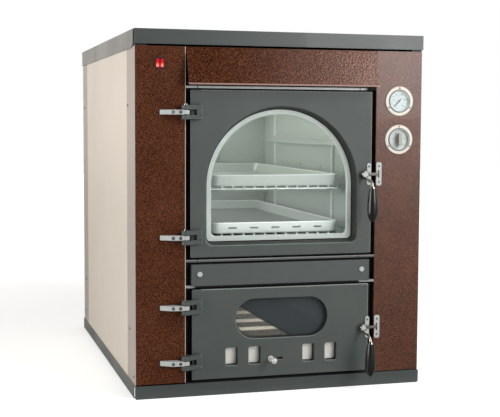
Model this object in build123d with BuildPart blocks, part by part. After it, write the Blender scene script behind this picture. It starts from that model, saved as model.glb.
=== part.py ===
from build123d import *
import os
from math import atan, degrees, hypot

# Wood-fired oven in a sheet-steel cabinet: an oven chamber above a firebox, each behind a cast-iron door.
# X runs to the right along the front, Y runs from the front to the back and Z runs up.
# The origin lies at the centre of the footprint, on the underside of the base. Lengths are in millimetres.

# Materials and clearances
sheet = 2.0
plate = 3.0
slip = 0.3
bore_play = 0.05
overrun = 2.0

# Arched oven window, which sets the oven door
window_radius = 201.5
window_side = 145.0
window_corner = 12.0
well_depth = 32.0
well_draft = 8.5
well_wall = 9.0
window_ring_width = 14.0
window_ring_height = 5.0
window_ring_bevel = 3.0
glass_thickness = 4.0
glass_lap = 5.0
retainer_depth = 6.0
retainer_sight = 12.5
mouth_gap = 5.5

# Door castings
oven_border_side = 48.0
oven_border_top = 48.5
oven_border_bottom = 39.0
door_thickness = 10.0
door_edge_chamfer = 1.5
door_corner = 3.0
door_proud = 2.0
door_side_gap = 12.5
land_width = 18.0
land_gap = 3.0
gasket_inset = 4.5
gasket_width = 9.0
gasket_seat = 2.0

# Firebox door and its air control
firebox_door_margin = 4.5
firebox_door_height = 239.0
obround_width = 251.0
obround_height = 101.0
obround_draft = 3.0
obround_rise = 156.0
obround_wall = 8.0
low_glass_lap = 4.0
air_hole_width = 30.0
air_hole_height = 44.0
air_hole_draft = 2.0
air_hole_corner = 3.0
air_hole_rise = 58.0
air_hole_first = 75.0
air_hole_pitch = 63.0
door_boss = 16.0
boss_margin = 16.0
shutter_thickness = 3.0
shutter_height = 68.0
shutter_lap = 7.0
shutter_travel = 30.0
shutter_slot_width = 26.0
shutter_rail = 4.0
knob_ball_radius = 8.0
knob_stem_radius = 3.0
knob_reach = 32.0
knob_washer_radius = 8.0
knob_washer_height = 2.0
knob_rise = 47.0
knob_rest = 31.0
knob_slot_play = 0.5
liner_margin = 10.0
liner_edge_gap = 3.0
liner_sight = 3.0

# Heights up the front, from the base to the top
base_height = 34.0
door_foot_gap = 8.0
cover_gap = 14.0
middle_cover_height = 51.0
oven_door_gap = 18.0
head_bar_gap = 4.0
bar_height = 6.0
hood_gap = 6.0
hood_height = 93.0
stile_top_gap = 5.0
top_lip = 38.0
side_flange = 47.0

# Stiles, hood and front frame
stile_width = 133.0
cladding_setback = 3.0
stile_return = 15.0
hood_gap_side = 2.0
hood_reach = 31.0
hood_tab = 17.0
hood_foot = 20.0
frame_lap = 28.0
bar_setback = 1.0
mouth_margin = 21.0
firebox_mouth_side = 45.0
firebox_mouth_margin = 16.0
middle_cover_margin = 3.0
middle_cover_proud = 1.0
cover_bolt_inset = 22.0
cover_bolt_radius = 3.0
cover_bolt_head_radius = 7.0
cover_bolt_head_height = 4.5
cover_bolt_bevel = 1.5
cover_bolt_tail = 5.0

# Casing behind the front
flange_gap = 0.3
corner_gap = 20.0
flange_cut = 26.0
post_side = 124.0
rear_post_side = 105.0
post_leg = 30.0
post_lip = 15.0
panel_gap = 1.0
panel_return = 12.0
base_plate = 3.0
base_web_inset = 60.0
base_foot_flange = 30.0
base_corner = 5.0

# Oven chamber, smoke jacket and insulation
smoke_gap = 30.0
insulation = 45.0
rear_space = 66.0
chamber_flange = 10.0
side_mark = 9.0
side_mark_height = 2.0
side_mark_pitch = 193.0
side_mark_first = 292.0
side_mark_count = 3
side_mark_rise = 201.0
firebox_floor_rise = 24.0
ash_room = 72.0
shelf_opening = 280.0
shelf_front = 60.0
shelf_setback = 14.0
grate_length = 530.0
grate_lap = 10.0
grate_thickness = 12.0
grate_slot = 12.0
grate_count = 11
brick_thickness = 38.0
brick_height = 205.0
brick_rear_room = 42.0
brick_setback = 8.0
guard_bar_height = 9.0
guard_bar_depth = 6.0
guard_bar_pitch = 22.5
guard_bar_first = 8.0
guard_bar_count = 4
guard_post = 10.0
guard_post_offset = 15.0
guard_front = 38.0
ash_pan_width = 300.0
ash_pan_height = 56.0
ash_pan_length = 580.0
ash_pan_clearance = 3.0
ash_pan_corner = 8.0
ash_handle_radius = 5.0
ash_handle_width = 90.0
ash_handle_reach = 14.0
ash_pan_travel = 10.0

# Racks and trays
rack_level_first = 29.5
rack_level_pitch = 127.0
rack_level_count = 3
ledge_lip = 6.0
ledge_drop = 10.0
ledge_reach = 8.0
ledge_front = 80.0
ledge_rear_gap = 24.0
upright_width = 10.0
upright_depth = 5.0
upright_front = 180.0
upright_rear_inset = 63.0
upright_top_gap = 28.0
rack_front = 44.0
rack_rod = 6.0
rack_wire = 5.5
rack_weld = 0.5
rack_wire_pitch = 30.0
rack_wire_count = 13
rack_side_gap = 1.0
tray_side_room = 20.0
tray_front = 42.0
tray_length = 810.0
tray_rear_room = 24.0
tray_rear_overhang = 28.0
tray_height = 30.0
tray_flare = 8.0
tray_corner = 14.0
tray_wall = 1.5
tray_slot_width = 24.0
tray_slot_height = 5.0
tray_slot_pitch = 60.0
tray_slot_count = 5

# Fan and lamp on the rear wall of the chamber
fan_x = -44.0
fan_rise = 209.0
guard_radius = 90.0
guard_edge = 3.0
guard_depth = 18.0
guard_wall = 1.5
guard_slot_count = 20
guard_slot_inner = 30.0
guard_slot_outer = 74.0
guard_slot_width = 6.0
fan_shaft_radius = 5.0
fan_sleeve_radius = 12.0
fan_blade_radius = 72.0
fan_blade_count = 8
fan_blade_thickness = 1.5
fan_blade_root = 12.0
fan_wheel_depth = 9.0
fan_wheel_gap = 4.0
fan_hub_radius = 14.0
fan_shaft_bite = 20.0
motor_radius = 40.0
motor_length = 48.0
motor_edge = 4.0
lamp_x = -150.0
lamp_rise = 320.0
lamp_radius = 27.0
lamp_reach = 24.0
lamp_collar = 6.0

# Hinges
pin_offset = 3.3
pin_front = 14.0
pin_radius = 4.0
pin_head_radius = 5.5
pin_head_height = 3.0
ear_radius = 11.3
ear_thickness = 11.0
ear_tail = 46.0
ear_root = 3.0
ear_web_start = 30.5
ear_web_height = 6.0
arm_height = 12.6
arm_play = 0.7
arm_hub_radius = 10.0
arm_length = 65.0
arm_tip_radius = 4.0
arm_belly_radius = 12.0
arm_belly_offset = 33.0
arm_edge = 1.2
arm_bore_play = 0.02
arm_screw_radius = 2.5
arm_screw_head = 4.0
arm_screw_head_height = 2.5
arm_screw_sink = 4.0
arm_screw_length = 26.0
arm_screw_first = 15.5
arm_screw_second = 34.0
oven_hinge_top = 58.0
oven_hinge_bottom = 54.5
firebox_hinge_top = 44.5
firebox_hinge_bottom = 50.0

# Latches
latch_inset = 34.8
oven_latch_rise = 213.7
firebox_latch_rise = 119.8
latch_plate_width = 11.6
latch_plate_height = 59.0
latch_plate_thickness = 2.5
latch_plate_offset = 14.6
latch_lobe_radius = 9.5
hub_radius = 10.0
hub_length = 12.0
hub_pin_radius = 4.0
hub_edge = 1.0
hub_cap_radius = 7.0
hub_cap_height = 2.0
tongue_height = 7.0
tongue_thickness = 5.0
tongue_length = 40.0
keeper_width = 15.0
keeper_height = 62.5
keeper_corner = 5.0
keeper_edge_gap = 0.7
keeper_slot_width = 4.0
keeper_slot_height = 20.0
keeper_slot_offset = 6.5
keeper_thickness = 4.5
neck_radius = 3.5
neck_offset = 4.0
neck_reach = 41.0
neck_dip = 8.0
neck_bend = 20.0
neck_tang = 20.0
ferrule_radius = 7.5
ferrule_neck = 4.5
ferrule_height = 6.0
grip_drop = 36.0
grip_length = 88.0
grip_top_radius = 9.0
grip_belly_radius = 14.5
grip_belly_drop = 62.0
grip_end_radius = 5.0

# Gauges and switch on the stiles
gauge_x_from_stile = 65.2
gauge_drop = 24.3
gauge_pitch = 103.3
flange_radius = 39.5
flange_thickness = 4.0
flange_edge = 1.5
case_radius = 29.0
case_wall = 2.0
case_length = 24.0
case_rim = 2.0
case_proud = 1.0
dial_sink = 5.5
gauge_glass_thickness = 2.0
gauge_stem_radius = 5.0
gauge_stem_length = 12.0
spindle_radius = 1.2
needle_length = 21.0
needle_tail = 8.0
needle_width = 2.0
needle_thickness = 1.0
needle_hub_radius = 3.0
needle_gap = 0.8
needle_angle = 225.0
timer_bar_length = 36.0
timer_bar_width = 8.0
timer_bar_height = 11.0
timer_hub_radius = 10.0
timer_hub_height = 3.0
timer_spindle_radius = 2.5
timer_spindle_length = 6.0
timer_corner = 2.0
switch_from_side = 66.0
switch_drop = 43.0
bezel_width = 25.0
bezel_height = 29.0
bezel_lip = 1.5
bezel_wall = 1.5
bezel_proud = 2.0
switch_body_length = 24.0
switch_cavity = 9.0
switch_pivot_depth = 2.5
key_gap = 0.4
key_tilt = 7.0
key_swing_room = 0.8
key_thickness = 7.0
key_corner = 1.0
key_pivot_radius = 1.2

# Flue collar and cable gland
flue_radius = 75.0
flue_wall = 3.0
flue_height = 50.0
flue_step = 2.0
flue_step_rise = 3.0
flue_taper = 5.0
flue_from_rear = 225.0
flue_flange = 12.0
gland_from_side = 95.0
gland_rise = 60.0
gland_radius = 12.0
gland_reach = 16.0
gland_nut = 5.0
gland_bore_radius = 4.0
gland_neck_radius = 8.0
gland_nut_sides = 6

# Sizes that follow from the values above
oven_door_width = 2 * (window_radius + oven_border_side)
oven_door_height = oven_border_bottom + window_side + window_radius + oven_border_top
opening_half = oven_door_width / 2 + door_side_gap
cabinet_half = opening_half + stile_width
firebox_door_width = oven_door_width - 2 * firebox_door_margin
middle_cover_width = oven_door_width - 2 * middle_cover_margin

firebox_door_bottom = base_height + door_foot_gap
firebox_door_top = firebox_door_bottom + firebox_door_height
middle_cover_bottom = firebox_door_top + cover_gap
middle_cover_top = middle_cover_bottom + middle_cover_height
oven_door_bottom = middle_cover_top + oven_door_gap
oven_door_top = oven_door_bottom + oven_door_height
head_bar_bottom = oven_door_top + head_bar_gap
hood_bottom = head_bar_bottom + bar_height + hood_gap
stile_top = hood_bottom + hood_height
lip_bottom = stile_top + stile_top_gap
cabinet_height = lip_bottom + top_lip
top_underside = cabinet_height - sheet

door_face_depth = cladding_setback - door_proud
frame_face_depth = cladding_setback + stile_return
frame_back_depth = frame_face_depth + sheet
door_back_depth = door_face_depth + door_thickness
land_depth = frame_face_depth - land_gap
well_end_depth = door_face_depth + well_depth
chamber_end_depth = frame_back_depth + tray_front + tray_length + tray_rear_room
jacket_end_depth = chamber_end_depth + sheet + smoke_gap
insulation_end_depth = jacket_end_depth + plate + insulation
cabinet_depth = insulation_end_depth + rear_space + cladding_setback
front_y = -cabinet_depth / 2
rear_y = cabinet_depth / 2

window_bottom = oven_door_bottom + oven_border_bottom
window_spring = window_bottom + window_side
mouth_half = window_radius + well_wall + mouth_gap
mouth_bottom = oven_door_bottom + mouth_margin
mouth_top = oven_door_top - mouth_margin
chamber_half = mouth_half - sheet
jacket_half = mouth_half + smoke_gap
jacket_top = mouth_top + sheet + smoke_gap
firebox_mouth_half = firebox_door_width / 2 - firebox_mouth_side
firebox_mouth_bottom = firebox_door_bottom + firebox_mouth_margin
firebox_mouth_top = firebox_door_top - firebox_mouth_margin
firebox_floor = base_height + firebox_floor_rise
shelf_top = firebox_floor + ash_room

casing_half = cabinet_half - sheet - flange_gap
pin_x = -opening_half - pin_offset
pin_y = front_y - pin_front
latch_x = opening_half - latch_inset
gland_x = cabinet_half - gland_from_side
oven_latch_z = oven_door_bottom + oven_latch_rise
firebox_latch_z = firebox_door_bottom + firebox_latch_rise
clevis_half = arm_height / 2 + arm_play + ear_thickness
hub_back_depth = door_face_depth - latch_plate_thickness - slip
grip_depth = hub_back_depth - hub_length - neck_reach
window_draft_angle = degrees(atan(well_draft / well_depth))

os.makedirs("parts", exist_ok=True)


def depth(distance):
    """Y position of a point that lies this far behind the cabinet's front plane."""
    return front_y + distance


def facing(distance):
    """Sketch plane that faces the front and lies this far behind the front plane."""
    return Plane.XZ.offset(-depth(distance))


def block(x_range, depth_range, z_range, mode=Mode.ADD):
    """Plain block between limits, in the part that is being built."""
    with BuildSketch(Plane.XY.offset(z_range[0])) as footprint:
        with Locations((sum(x_range) / 2, depth(sum(depth_range) / 2))):
            Rectangle(x_range[1] - x_range[0], depth_range[1] - depth_range[0])
    extrude(footprint.sketch, amount=z_range[1] - z_range[0], mode=mode)


def cylinder(x, z, radius, depth_range, mode=Mode.ADD):
    """Round bar that runs from front to back, in the part that is being built."""
    with BuildSketch(facing(depth_range[1])) as disc:
        with Locations((x, z)):
            Circle(radius)
    extrude(disc.sketch, amount=depth_range[1] - depth_range[0], mode=mode)


def upright_cylinder(x, y, radius, z_range, mode=Mode.ADD):
    """Round bar that stands upright, in the part that is being built."""
    with BuildSketch(Plane.XY.offset(z_range[0])) as disc:
        with Locations((x, y)):
            Circle(radius)
    extrude(disc.sketch, amount=z_range[1] - z_range[0], mode=mode)


def headed_pin(x, z, head_radius, head_height, shank_radius, seat_depth, end_depth, bevel):
    """Bolt or screw that points to the rear, with a bevelled head in front of its seat."""
    with BuildPart() as pin:
        cylinder(x, z, head_radius, (seat_depth - head_height, seat_depth))
        chamfer(pin.faces().sort_by(Axis.Y)[0].edges(), bevel)
        cylinder(x, z, shank_radius, (seat_depth, end_depth))
    return pin.part


def folded(plane, path, length, side=Side.LEFT, thickness=sheet):
    """Sheet folded along a path in the plane, as long as given."""
    with BuildPart() as bent:
        with BuildSketch(plane):
            with BuildLine():
                Polyline(*path)
                offset(amount=thickness, side=side)
            make_face()
        extrude(amount=length)
    return bent.part


def mirrored(part):
    """The same piece on the other side of the cabinet."""
    return mirror(part, about=Plane.YZ, mode=Mode.PRIVATE)


def arch(distance, grow):
    """Window outline on a plane facing the front, grown all round."""
    half = window_radius + grow
    low = window_bottom - grow
    with BuildSketch(facing(distance)) as outline:
        with BuildLine():
            Polyline((-half, window_spring), (-half, low), (half, low), (half, window_spring))
            ThreePointArc((half, window_spring), (0, window_spring + half), (-half, window_spring))
        make_face()
        fillet(outline.vertices().group_by(Axis.Y)[0], window_corner)
    return outline.sketch


def obround(distance, grow):
    """Firebox window outline on a plane facing the front, grown all round."""
    with BuildSketch(facing(distance)) as outline:
        with Locations((0, firebox_door_bottom + obround_rise)):
            SlotOverall(obround_width + 2 * grow, obround_height + 2 * grow)
    return outline.sketch


def upright_box(distance, x_centre, z_centre, width, height, corner=0):
    """Rectangle on a plane facing the front, with rounded corners where a radius is given."""
    with BuildSketch(facing(distance)) as outline:
        with Locations((x_centre, z_centre)):
            if corner > 0:
                RectangleRounded(width, height, corner)
            else:
                Rectangle(width, height)
    return outline.sketch


def finish(part, node):
    """Label a finished piece and write it to its own file."""
    part.label = node
    export_step(part, f"parts/{node}.step")


# Base: a welded tray with its open side down, stiffened by channels
front_band_start = base_plate + corner_gap
with BuildPart() as base_frame:
    with BuildSketch(Plane.XY):
        Rectangle(2 * cabinet_half, cabinet_depth)
    extrude(amount=base_height)
    with BuildSketch(Plane.XY.offset(-overrun)):
        Rectangle(2 * (cabinet_half - base_plate), cabinet_depth - 2 * base_plate)
    extrude(amount=base_height - base_plate + overrun, mode=Mode.SUBTRACT)
    for side in (-1, 1):
        edge = side * cabinet_half
        inner = edge - side * (base_plate + overrun)
        block(sorted((edge + side * overrun, inner)), (base_plate, front_band_start),
              (-overrun, base_height - base_plate), mode=Mode.SUBTRACT)
    band_ends = base_frame.edges().filter_by(Axis.Y).filter_by(
        lambda end: end.center().Y < front_y + base_plate and end.center().Z < slip)
    fillet([band_ends.sort_by(Axis.X)[0], band_ends.sort_by(Axis.X)[-1]], base_corner)
    web_room = cabinet_depth / 2 - base_web_inset
    for web_y in (-web_room, 0, web_room):
        with BuildSketch(Plane.XY) as web_flange:
            with Locations((0, web_y)):
                Rectangle(2 * (cabinet_half - base_plate), base_foot_flange)
        extrude(amount=base_plate)
        with BuildSketch(Plane.XY.offset(base_plate)) as web:
            with Locations((0, web_y)):
                Rectangle(2 * (cabinet_half - base_plate), base_plate)
        extrude(amount=base_height - 2 * base_plate)
finish(base_frame.part, "base_frame")

# Corner posts: folded channels that carry the side panels, two in front and two behind
post_height = top_underside - base_height
post_front_depth = cladding_setback + sheet
post_rear_depth = cabinet_depth - cladding_setback - sheet
front_post_path = [
    (-casing_half + post_leg, depth(post_front_depth)),
    (-casing_half, depth(post_front_depth)),
    (-casing_half, depth(post_front_depth + post_side)),
    (-casing_half + post_lip, depth(post_front_depth + post_side)),
]
rear_post_path = [
    (-casing_half + post_leg, depth(post_rear_depth)),
    (-casing_half, depth(post_rear_depth)),
    (-casing_half, depth(post_rear_depth - rear_post_side)),
    (-casing_half + post_lip, depth(post_rear_depth - rear_post_side)),
]
front_post = folded(Plane.XY.offset(base_height), front_post_path, post_height, Side.RIGHT)
rear_post = folded(Plane.XY.offset(base_height), rear_post_path, post_height, Side.LEFT)
with BuildPart() as front_posts:
    add([front_post, mirrored(front_post)])
finish(front_posts.part, "front_posts")
with BuildPart() as rear_posts:
    add([rear_post, mirrored(rear_post)])
finish(rear_posts.part, "rear_posts")

# Side panels: shallow folded pans between the posts
panel_front_depth = post_front_depth + post_side + panel_gap
panel_rear_depth = post_rear_depth - rear_post_side - panel_gap
side_panel_path = [
    (-casing_half + panel_return, depth(panel_front_depth)),
    (-casing_half, depth(panel_front_depth)),
    (-casing_half, depth(panel_rear_depth)),
    (-casing_half + panel_return, depth(panel_rear_depth)),
]
left_side_panel = folded(Plane.XY.offset(base_height), side_panel_path, post_height, Side.RIGHT)
finish(left_side_panel, "left_side_panel")
right_side_panel = mirrored(left_side_panel)
finish(right_side_panel, "right_side_panel")

# Rear panel, with the hole for the cable gland
with BuildPart() as rear_panel:
    block((-casing_half, casing_half), (post_rear_depth, post_rear_depth + sheet),
          (base_height, top_underside))
    cylinder(gland_x, base_height + gland_rise, gland_neck_radius + slip,
             (post_rear_depth - overrun, post_rear_depth + sheet + overrun), mode=Mode.SUBTRACT)
finish(rear_panel.part, "rear_panel")

# Top: a lid with a front lip, deeper side flanges cut back at their front ends, and the flue hole
flue_y = rear_y - flue_from_rear
flange_start = sheet + corner_gap
with BuildPart() as top_cover:
    with BuildSketch(Plane.XY.offset(top_underside)):
        Rectangle(2 * cabinet_half, cabinet_depth)
        with Locations((0, flue_y)):
            Circle(flue_radius + flue_step + slip, mode=Mode.SUBTRACT)
    extrude(amount=sheet)
    for lip_depths in ((0, sheet), (cabinet_depth - sheet, cabinet_depth)):
        block((-cabinet_half, cabinet_half), lip_depths, (lip_bottom, top_underside))
    for side in (-1, 1):
        with BuildSketch(Plane.YZ.offset(side * (cabinet_half - sheet / 2))) as flange:
            with BuildLine():
                Polyline(
                    (depth(flange_start), top_underside),
                    (depth(flange_start), lip_bottom),
                    (depth(flange_start + flange_cut), cabinet_height - side_flange),
                    (depth(cabinet_depth), cabinet_height - side_flange),
                    (depth(cabinet_depth), top_underside),
                    close=True,
                )
            make_face()
        extrude(flange.sketch, amount=sheet / 2, both=True)
finish(top_cover.part, "top_cover")

# Stiles: folded sheets either side of the doors
stile_path = [
    (-casing_half, depth(cladding_setback)),
    (-opening_half, depth(cladding_setback)),
    (-opening_half, depth(frame_face_depth)),
]
left_stile_sheet = folded(Plane.XY.offset(base_height), stile_path, stile_top - base_height, Side.LEFT)
right_stile_sheet = mirrored(left_stile_sheet)

hinge_heights = [
    oven_door_top - oven_hinge_top,
    oven_door_bottom + oven_hinge_bottom,
    firebox_door_top - firebox_hinge_top,
    firebox_door_bottom + firebox_hinge_bottom,
]
arm_screw_places = [(pin_x - reach, z) for z in hinge_heights for reach in (arm_screw_first, arm_screw_second)]
switch_x = -cabinet_half + switch_from_side
switch_z = stile_top - switch_drop
switch_body_width = bezel_width - 2 * bezel_lip
switch_body_height = bezel_height - 2 * bezel_lip
gauge_x = opening_half + gauge_x_from_stile
thermometer_z = oven_door_top - gauge_drop
timer_z = thermometer_z - gauge_pitch
gauge_heights = [thermometer_z, timer_z]
stile_cut = (cladding_setback - overrun, cladding_setback + sheet + overrun)

with BuildPart() as left_stile:
    add(left_stile_sheet)
    for screw_x, screw_z in arm_screw_places:
        cylinder(screw_x, screw_z, arm_screw_radius + slip, stile_cut, mode=Mode.SUBTRACT)
    extrude(upright_box(stile_cut[1], switch_x, switch_z, switch_body_width + slip,
                        switch_body_height + slip),
            amount=stile_cut[1] - stile_cut[0], mode=Mode.SUBTRACT)
finish(left_stile.part, "left_stile")

with BuildPart() as right_stile:
    add(right_stile_sheet)
    for gauge_z in gauge_heights:
        cylinder(gauge_x, gauge_z, case_radius + slip, stile_cut, mode=Mode.SUBTRACT)
finish(right_stile.part, "right_stile")

# Header hood: one sheet that slopes out over the oven door
hood_half = opening_half - hood_gap_side
hood_path = [
    (depth(frame_face_depth), stile_top - hood_tab),
    (depth(frame_face_depth), stile_top),
    (depth(post_front_depth), stile_top),
    (depth(cladding_setback - hood_reach), hood_bottom),
    (depth(cladding_setback - hood_reach + hood_foot), hood_bottom),
]
header_hood = folded(Plane.YZ.offset(-hood_half), hood_path, 2 * hood_half)
finish(header_hood, "header_hood")

# Front frame: plate with the oven mouth and the firebox mouth, and three cross bars between the doors
frame_half = opening_half + frame_lap
bar_front_depth = cladding_setback + bar_setback
bar_half = opening_half - slip
bar_heights = [
    (firebox_door_top + middle_cover_bottom) / 2,
    (middle_cover_top + oven_door_bottom) / 2,
    head_bar_bottom + bar_height / 2,
]
cover_bolt_x = middle_cover_width / 2 - cover_bolt_inset
cover_bolt_z = (middle_cover_bottom + middle_cover_top) / 2
mouth_cut = (frame_face_depth - overrun, frame_back_depth + overrun)
with BuildPart() as front_frame:
    block((-frame_half, frame_half), (frame_face_depth, frame_back_depth), (base_height, stile_top))
    for bar_z in bar_heights:
        block((-bar_half, bar_half), (bar_front_depth, frame_face_depth),
              (bar_z - bar_height / 2, bar_z + bar_height / 2))
    block((-mouth_half, mouth_half), mouth_cut, (mouth_bottom, mouth_top), mode=Mode.SUBTRACT)
    block((-firebox_mouth_half, firebox_mouth_half), mouth_cut, (firebox_mouth_bottom, firebox_mouth_top),
          mode=Mode.SUBTRACT)
    for bolt_x in (-cover_bolt_x, cover_bolt_x):
        cylinder(bolt_x, cover_bolt_z, cover_bolt_radius + slip, mouth_cut, mode=Mode.SUBTRACT)
finish(front_frame.part, "front_frame")

# Middle cover: shallow pan between the doors, held by two bolts
cover_front_depth = cladding_setback - middle_cover_proud
cover_half = middle_cover_width / 2
with BuildPart() as middle_cover:
    block((-cover_half, cover_half), (cover_front_depth, frame_face_depth),
          (middle_cover_bottom, middle_cover_top))
    block((sheet - cover_half, cover_half - sheet), (cover_front_depth + sheet, frame_face_depth + overrun),
          (middle_cover_bottom + sheet, middle_cover_top - sheet), mode=Mode.SUBTRACT)
    for bolt_x in (-cover_bolt_x, cover_bolt_x):
        cylinder(bolt_x, cover_bolt_z, cover_bolt_radius + slip,
                 (cover_front_depth - overrun, frame_face_depth), mode=Mode.SUBTRACT)
finish(middle_cover.part, "middle_cover")

with BuildPart() as middle_cover_bolts:
    for bolt_x in (-cover_bolt_x, cover_bolt_x):
        add(headed_pin(bolt_x, cover_bolt_z, cover_bolt_head_radius, cover_bolt_head_height,
                       cover_bolt_radius, cover_front_depth, frame_back_depth + cover_bolt_tail,
                       cover_bolt_bevel))
finish(middle_cover_bolts.part, "middle_cover_bolts")

# Oven chamber: stainless box flanged to the back of the front frame, with square marks on its sides
chamber_floor = mouth_bottom + sheet
chamber_roof = mouth_top - sheet
fan_z = mouth_bottom + fan_rise
lamp_z = mouth_bottom + lamp_rise
side_mark_z = mouth_bottom + side_mark_rise
with BuildPart() as oven_chamber:
    block((-mouth_half, mouth_half), (frame_back_depth, chamber_end_depth + sheet), (mouth_bottom, mouth_top))
    block((-mouth_half - chamber_flange, mouth_half + chamber_flange),
          (frame_back_depth, frame_back_depth + sheet),
          (mouth_bottom - chamber_flange, mouth_top + chamber_flange))
    block((-chamber_half, chamber_half), (frame_back_depth - overrun, chamber_end_depth),
          (chamber_floor, chamber_roof), mode=Mode.SUBTRACT)
    for place in range(side_mark_count):
        mark_front = frame_back_depth + side_mark_first + place * side_mark_pitch
        for side in (-1, 1):
            block(sorted((side * (chamber_half - side_mark_height), side * chamber_half)),
                  (mark_front - side_mark / 2, mark_front + side_mark / 2),
                  (side_mark_z - side_mark / 2, side_mark_z + side_mark / 2))
    cylinder(fan_x, fan_z, fan_sleeve_radius + slip,
             (chamber_end_depth - overrun, chamber_end_depth + sheet + overrun), mode=Mode.SUBTRACT)
finish(oven_chamber.part, "oven_chamber")

# Smoke jacket: welded plate round the chamber and the firebox, with a shelf that has the grate opening
jacket_outer = jacket_half + plate
jacket_roof = jacket_top + plate
jacket_back_depth = jacket_end_depth + plate
jacket_room = (frame_back_depth - overrun, jacket_end_depth)
grate_start = frame_back_depth + shelf_front
grate_end = grate_start + grate_length
with BuildPart() as smoke_jacket:
    block((-jacket_outer, jacket_outer), (frame_back_depth, jacket_back_depth), (base_height, jacket_roof))
    for room_bottom, room_top in (
        (base_height - overrun, firebox_floor - plate),
        (firebox_floor, shelf_top - plate),
        (shelf_top, jacket_top),
    ):
        block((-jacket_half, jacket_half), jacket_room, (room_bottom, room_top), mode=Mode.SUBTRACT)
    shelf_cut = (shelf_top - plate - overrun, shelf_top + overrun)
    block((-shelf_opening / 2, shelf_opening / 2), (grate_start, grate_end), shelf_cut, mode=Mode.SUBTRACT)
    block((-jacket_half, jacket_half), (frame_back_depth - overrun, frame_back_depth + shelf_setback),
          shelf_cut, mode=Mode.SUBTRACT)
    upright_cylinder(0, flue_y, flue_radius - flue_wall, (jacket_top - overrun, jacket_roof + overrun),
                     mode=Mode.SUBTRACT)
    cylinder(fan_x, fan_z, fan_sleeve_radius + slip,
             (jacket_end_depth - overrun, jacket_back_depth + overrun), mode=Mode.SUBTRACT)
finish(smoke_jacket.part, "smoke_jacket")

# Insulation: wool slabs over the sides, the top and the back of the jacket
wool_inner = jacket_outer + slip
wool_roof = jacket_roof + slip + insulation
with BuildPart() as insulation_jacket:
    block((-wool_inner - insulation, wool_inner + insulation), (frame_back_depth + slip, insulation_end_depth),
          (base_height, wool_roof))
    block((-wool_inner, wool_inner), (frame_back_depth - overrun, jacket_back_depth + slip),
          (base_height - overrun, jacket_roof + slip), mode=Mode.SUBTRACT)
    upright_cylinder(0, flue_y, flue_radius + flue_flange + slip, (jacket_roof, wool_roof + overrun),
                     mode=Mode.SUBTRACT)
    cylinder(fan_x, fan_z, fan_sleeve_radius + slip,
             (jacket_back_depth - overrun, insulation_end_depth + overrun), mode=Mode.SUBTRACT)
finish(insulation_jacket.part, "insulation_jacket")

# Flue collar: flanged tube on top of the jacket, through the lid, that tapers to the spigot for the pipe
flue_neck_top = cabinet_height + flue_step_rise
spigot_bottom = flue_neck_top + flue_taper
spigot_top = spigot_bottom + flue_height
with BuildPart() as flue_collar:
    upright_cylinder(0, flue_y, flue_radius + flue_step, (jacket_roof, flue_neck_top))
    upright_cylinder(0, flue_y, flue_radius + flue_flange, (jacket_roof, jacket_roof + plate))
    with Locations((0, flue_y, flue_neck_top)):
        Cone(flue_radius + flue_step, flue_radius, flue_taper, align=(Align.CENTER, Align.CENTER, Align.MIN))
    upright_cylinder(0, flue_y, flue_radius, (spigot_bottom, spigot_top))
    upright_cylinder(0, flue_y, flue_radius - flue_wall, (jacket_roof - overrun, spigot_top + overrun),
                     mode=Mode.SUBTRACT)
finish(flue_collar.part, "flue_collar")

# Fire bricks: one along each side of the firebox and one across its back
brick_inner = jacket_half - brick_thickness
brick_start = frame_back_depth + brick_setback
brick_end = grate_end + grate_lap + brick_rear_room + brick_thickness
brick_top = shelf_top + brick_height
with BuildPart() as firebrick_lining:
    for side in (-1, 1):
        block(sorted((side * brick_inner, side * jacket_half)), (brick_start, brick_end),
              (shelf_top, brick_top))
    block((slip - brick_inner, brick_inner - slip), (brick_end - brick_thickness, brick_end),
          (shelf_top, brick_top))
finish(firebrick_lining.part, "firebrick_lining")

# Fire grate: cast bars over the shelf opening
with BuildPart() as fire_grate:
    block((-shelf_opening / 2 - grate_lap, shelf_opening / 2 + grate_lap),
          (grate_start - grate_lap, grate_end + grate_lap), (shelf_top, shelf_top + grate_thickness))
    with BuildSketch(Plane.XY.offset(shelf_top - overrun)):
        with Locations((0, depth((grate_start + grate_end) / 2))):
            with GridLocations(2 * grate_slot, 0, grate_count, 1):
                SlotOverall(grate_length - 2 * grate_lap, grate_slot, rotation=90)
    extrude(amount=grate_thickness + 2 * overrun, mode=Mode.SUBTRACT)
finish(fire_grate.part, "fire_grate")

# Log guard: cross bars behind the firebox window, on end posts and one centre post
guard_start = frame_back_depth + guard_front
guard_end = guard_start + guard_bar_depth
guard_half = firebox_mouth_half - slip
guard_top = shelf_top + guard_bar_first + (guard_bar_count - 1) * guard_bar_pitch + guard_bar_height / 2
with BuildPart() as log_guard:
    for place in range(guard_bar_count):
        bar_z = shelf_top + guard_bar_first + place * guard_bar_pitch
        block((-guard_half, guard_half), (guard_start, guard_end),
              (bar_z - guard_bar_height / 2, bar_z + guard_bar_height / 2))
    for post_x in (guard_post / 2 - guard_half, guard_post_offset, guard_half - guard_post / 2):
        block((post_x - guard_post / 2, post_x + guard_post / 2), (guard_start, guard_end),
              (shelf_top, guard_top))
finish(log_guard.part, "log_guard")

# Rack guides: two uprights a side that carry three stepped ledges
ledge_tops = [chamber_floor + rack_level_first + place * rack_level_pitch for place in range(rack_level_count)]
rack_end = frame_back_depth + tray_front + tray_length - tray_rear_overhang
ledge_span = (frame_back_depth + ledge_front, rack_end - ledge_rear_gap)
upright_starts = (frame_back_depth + upright_front, ledge_span[1] - upright_rear_inset)


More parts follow.
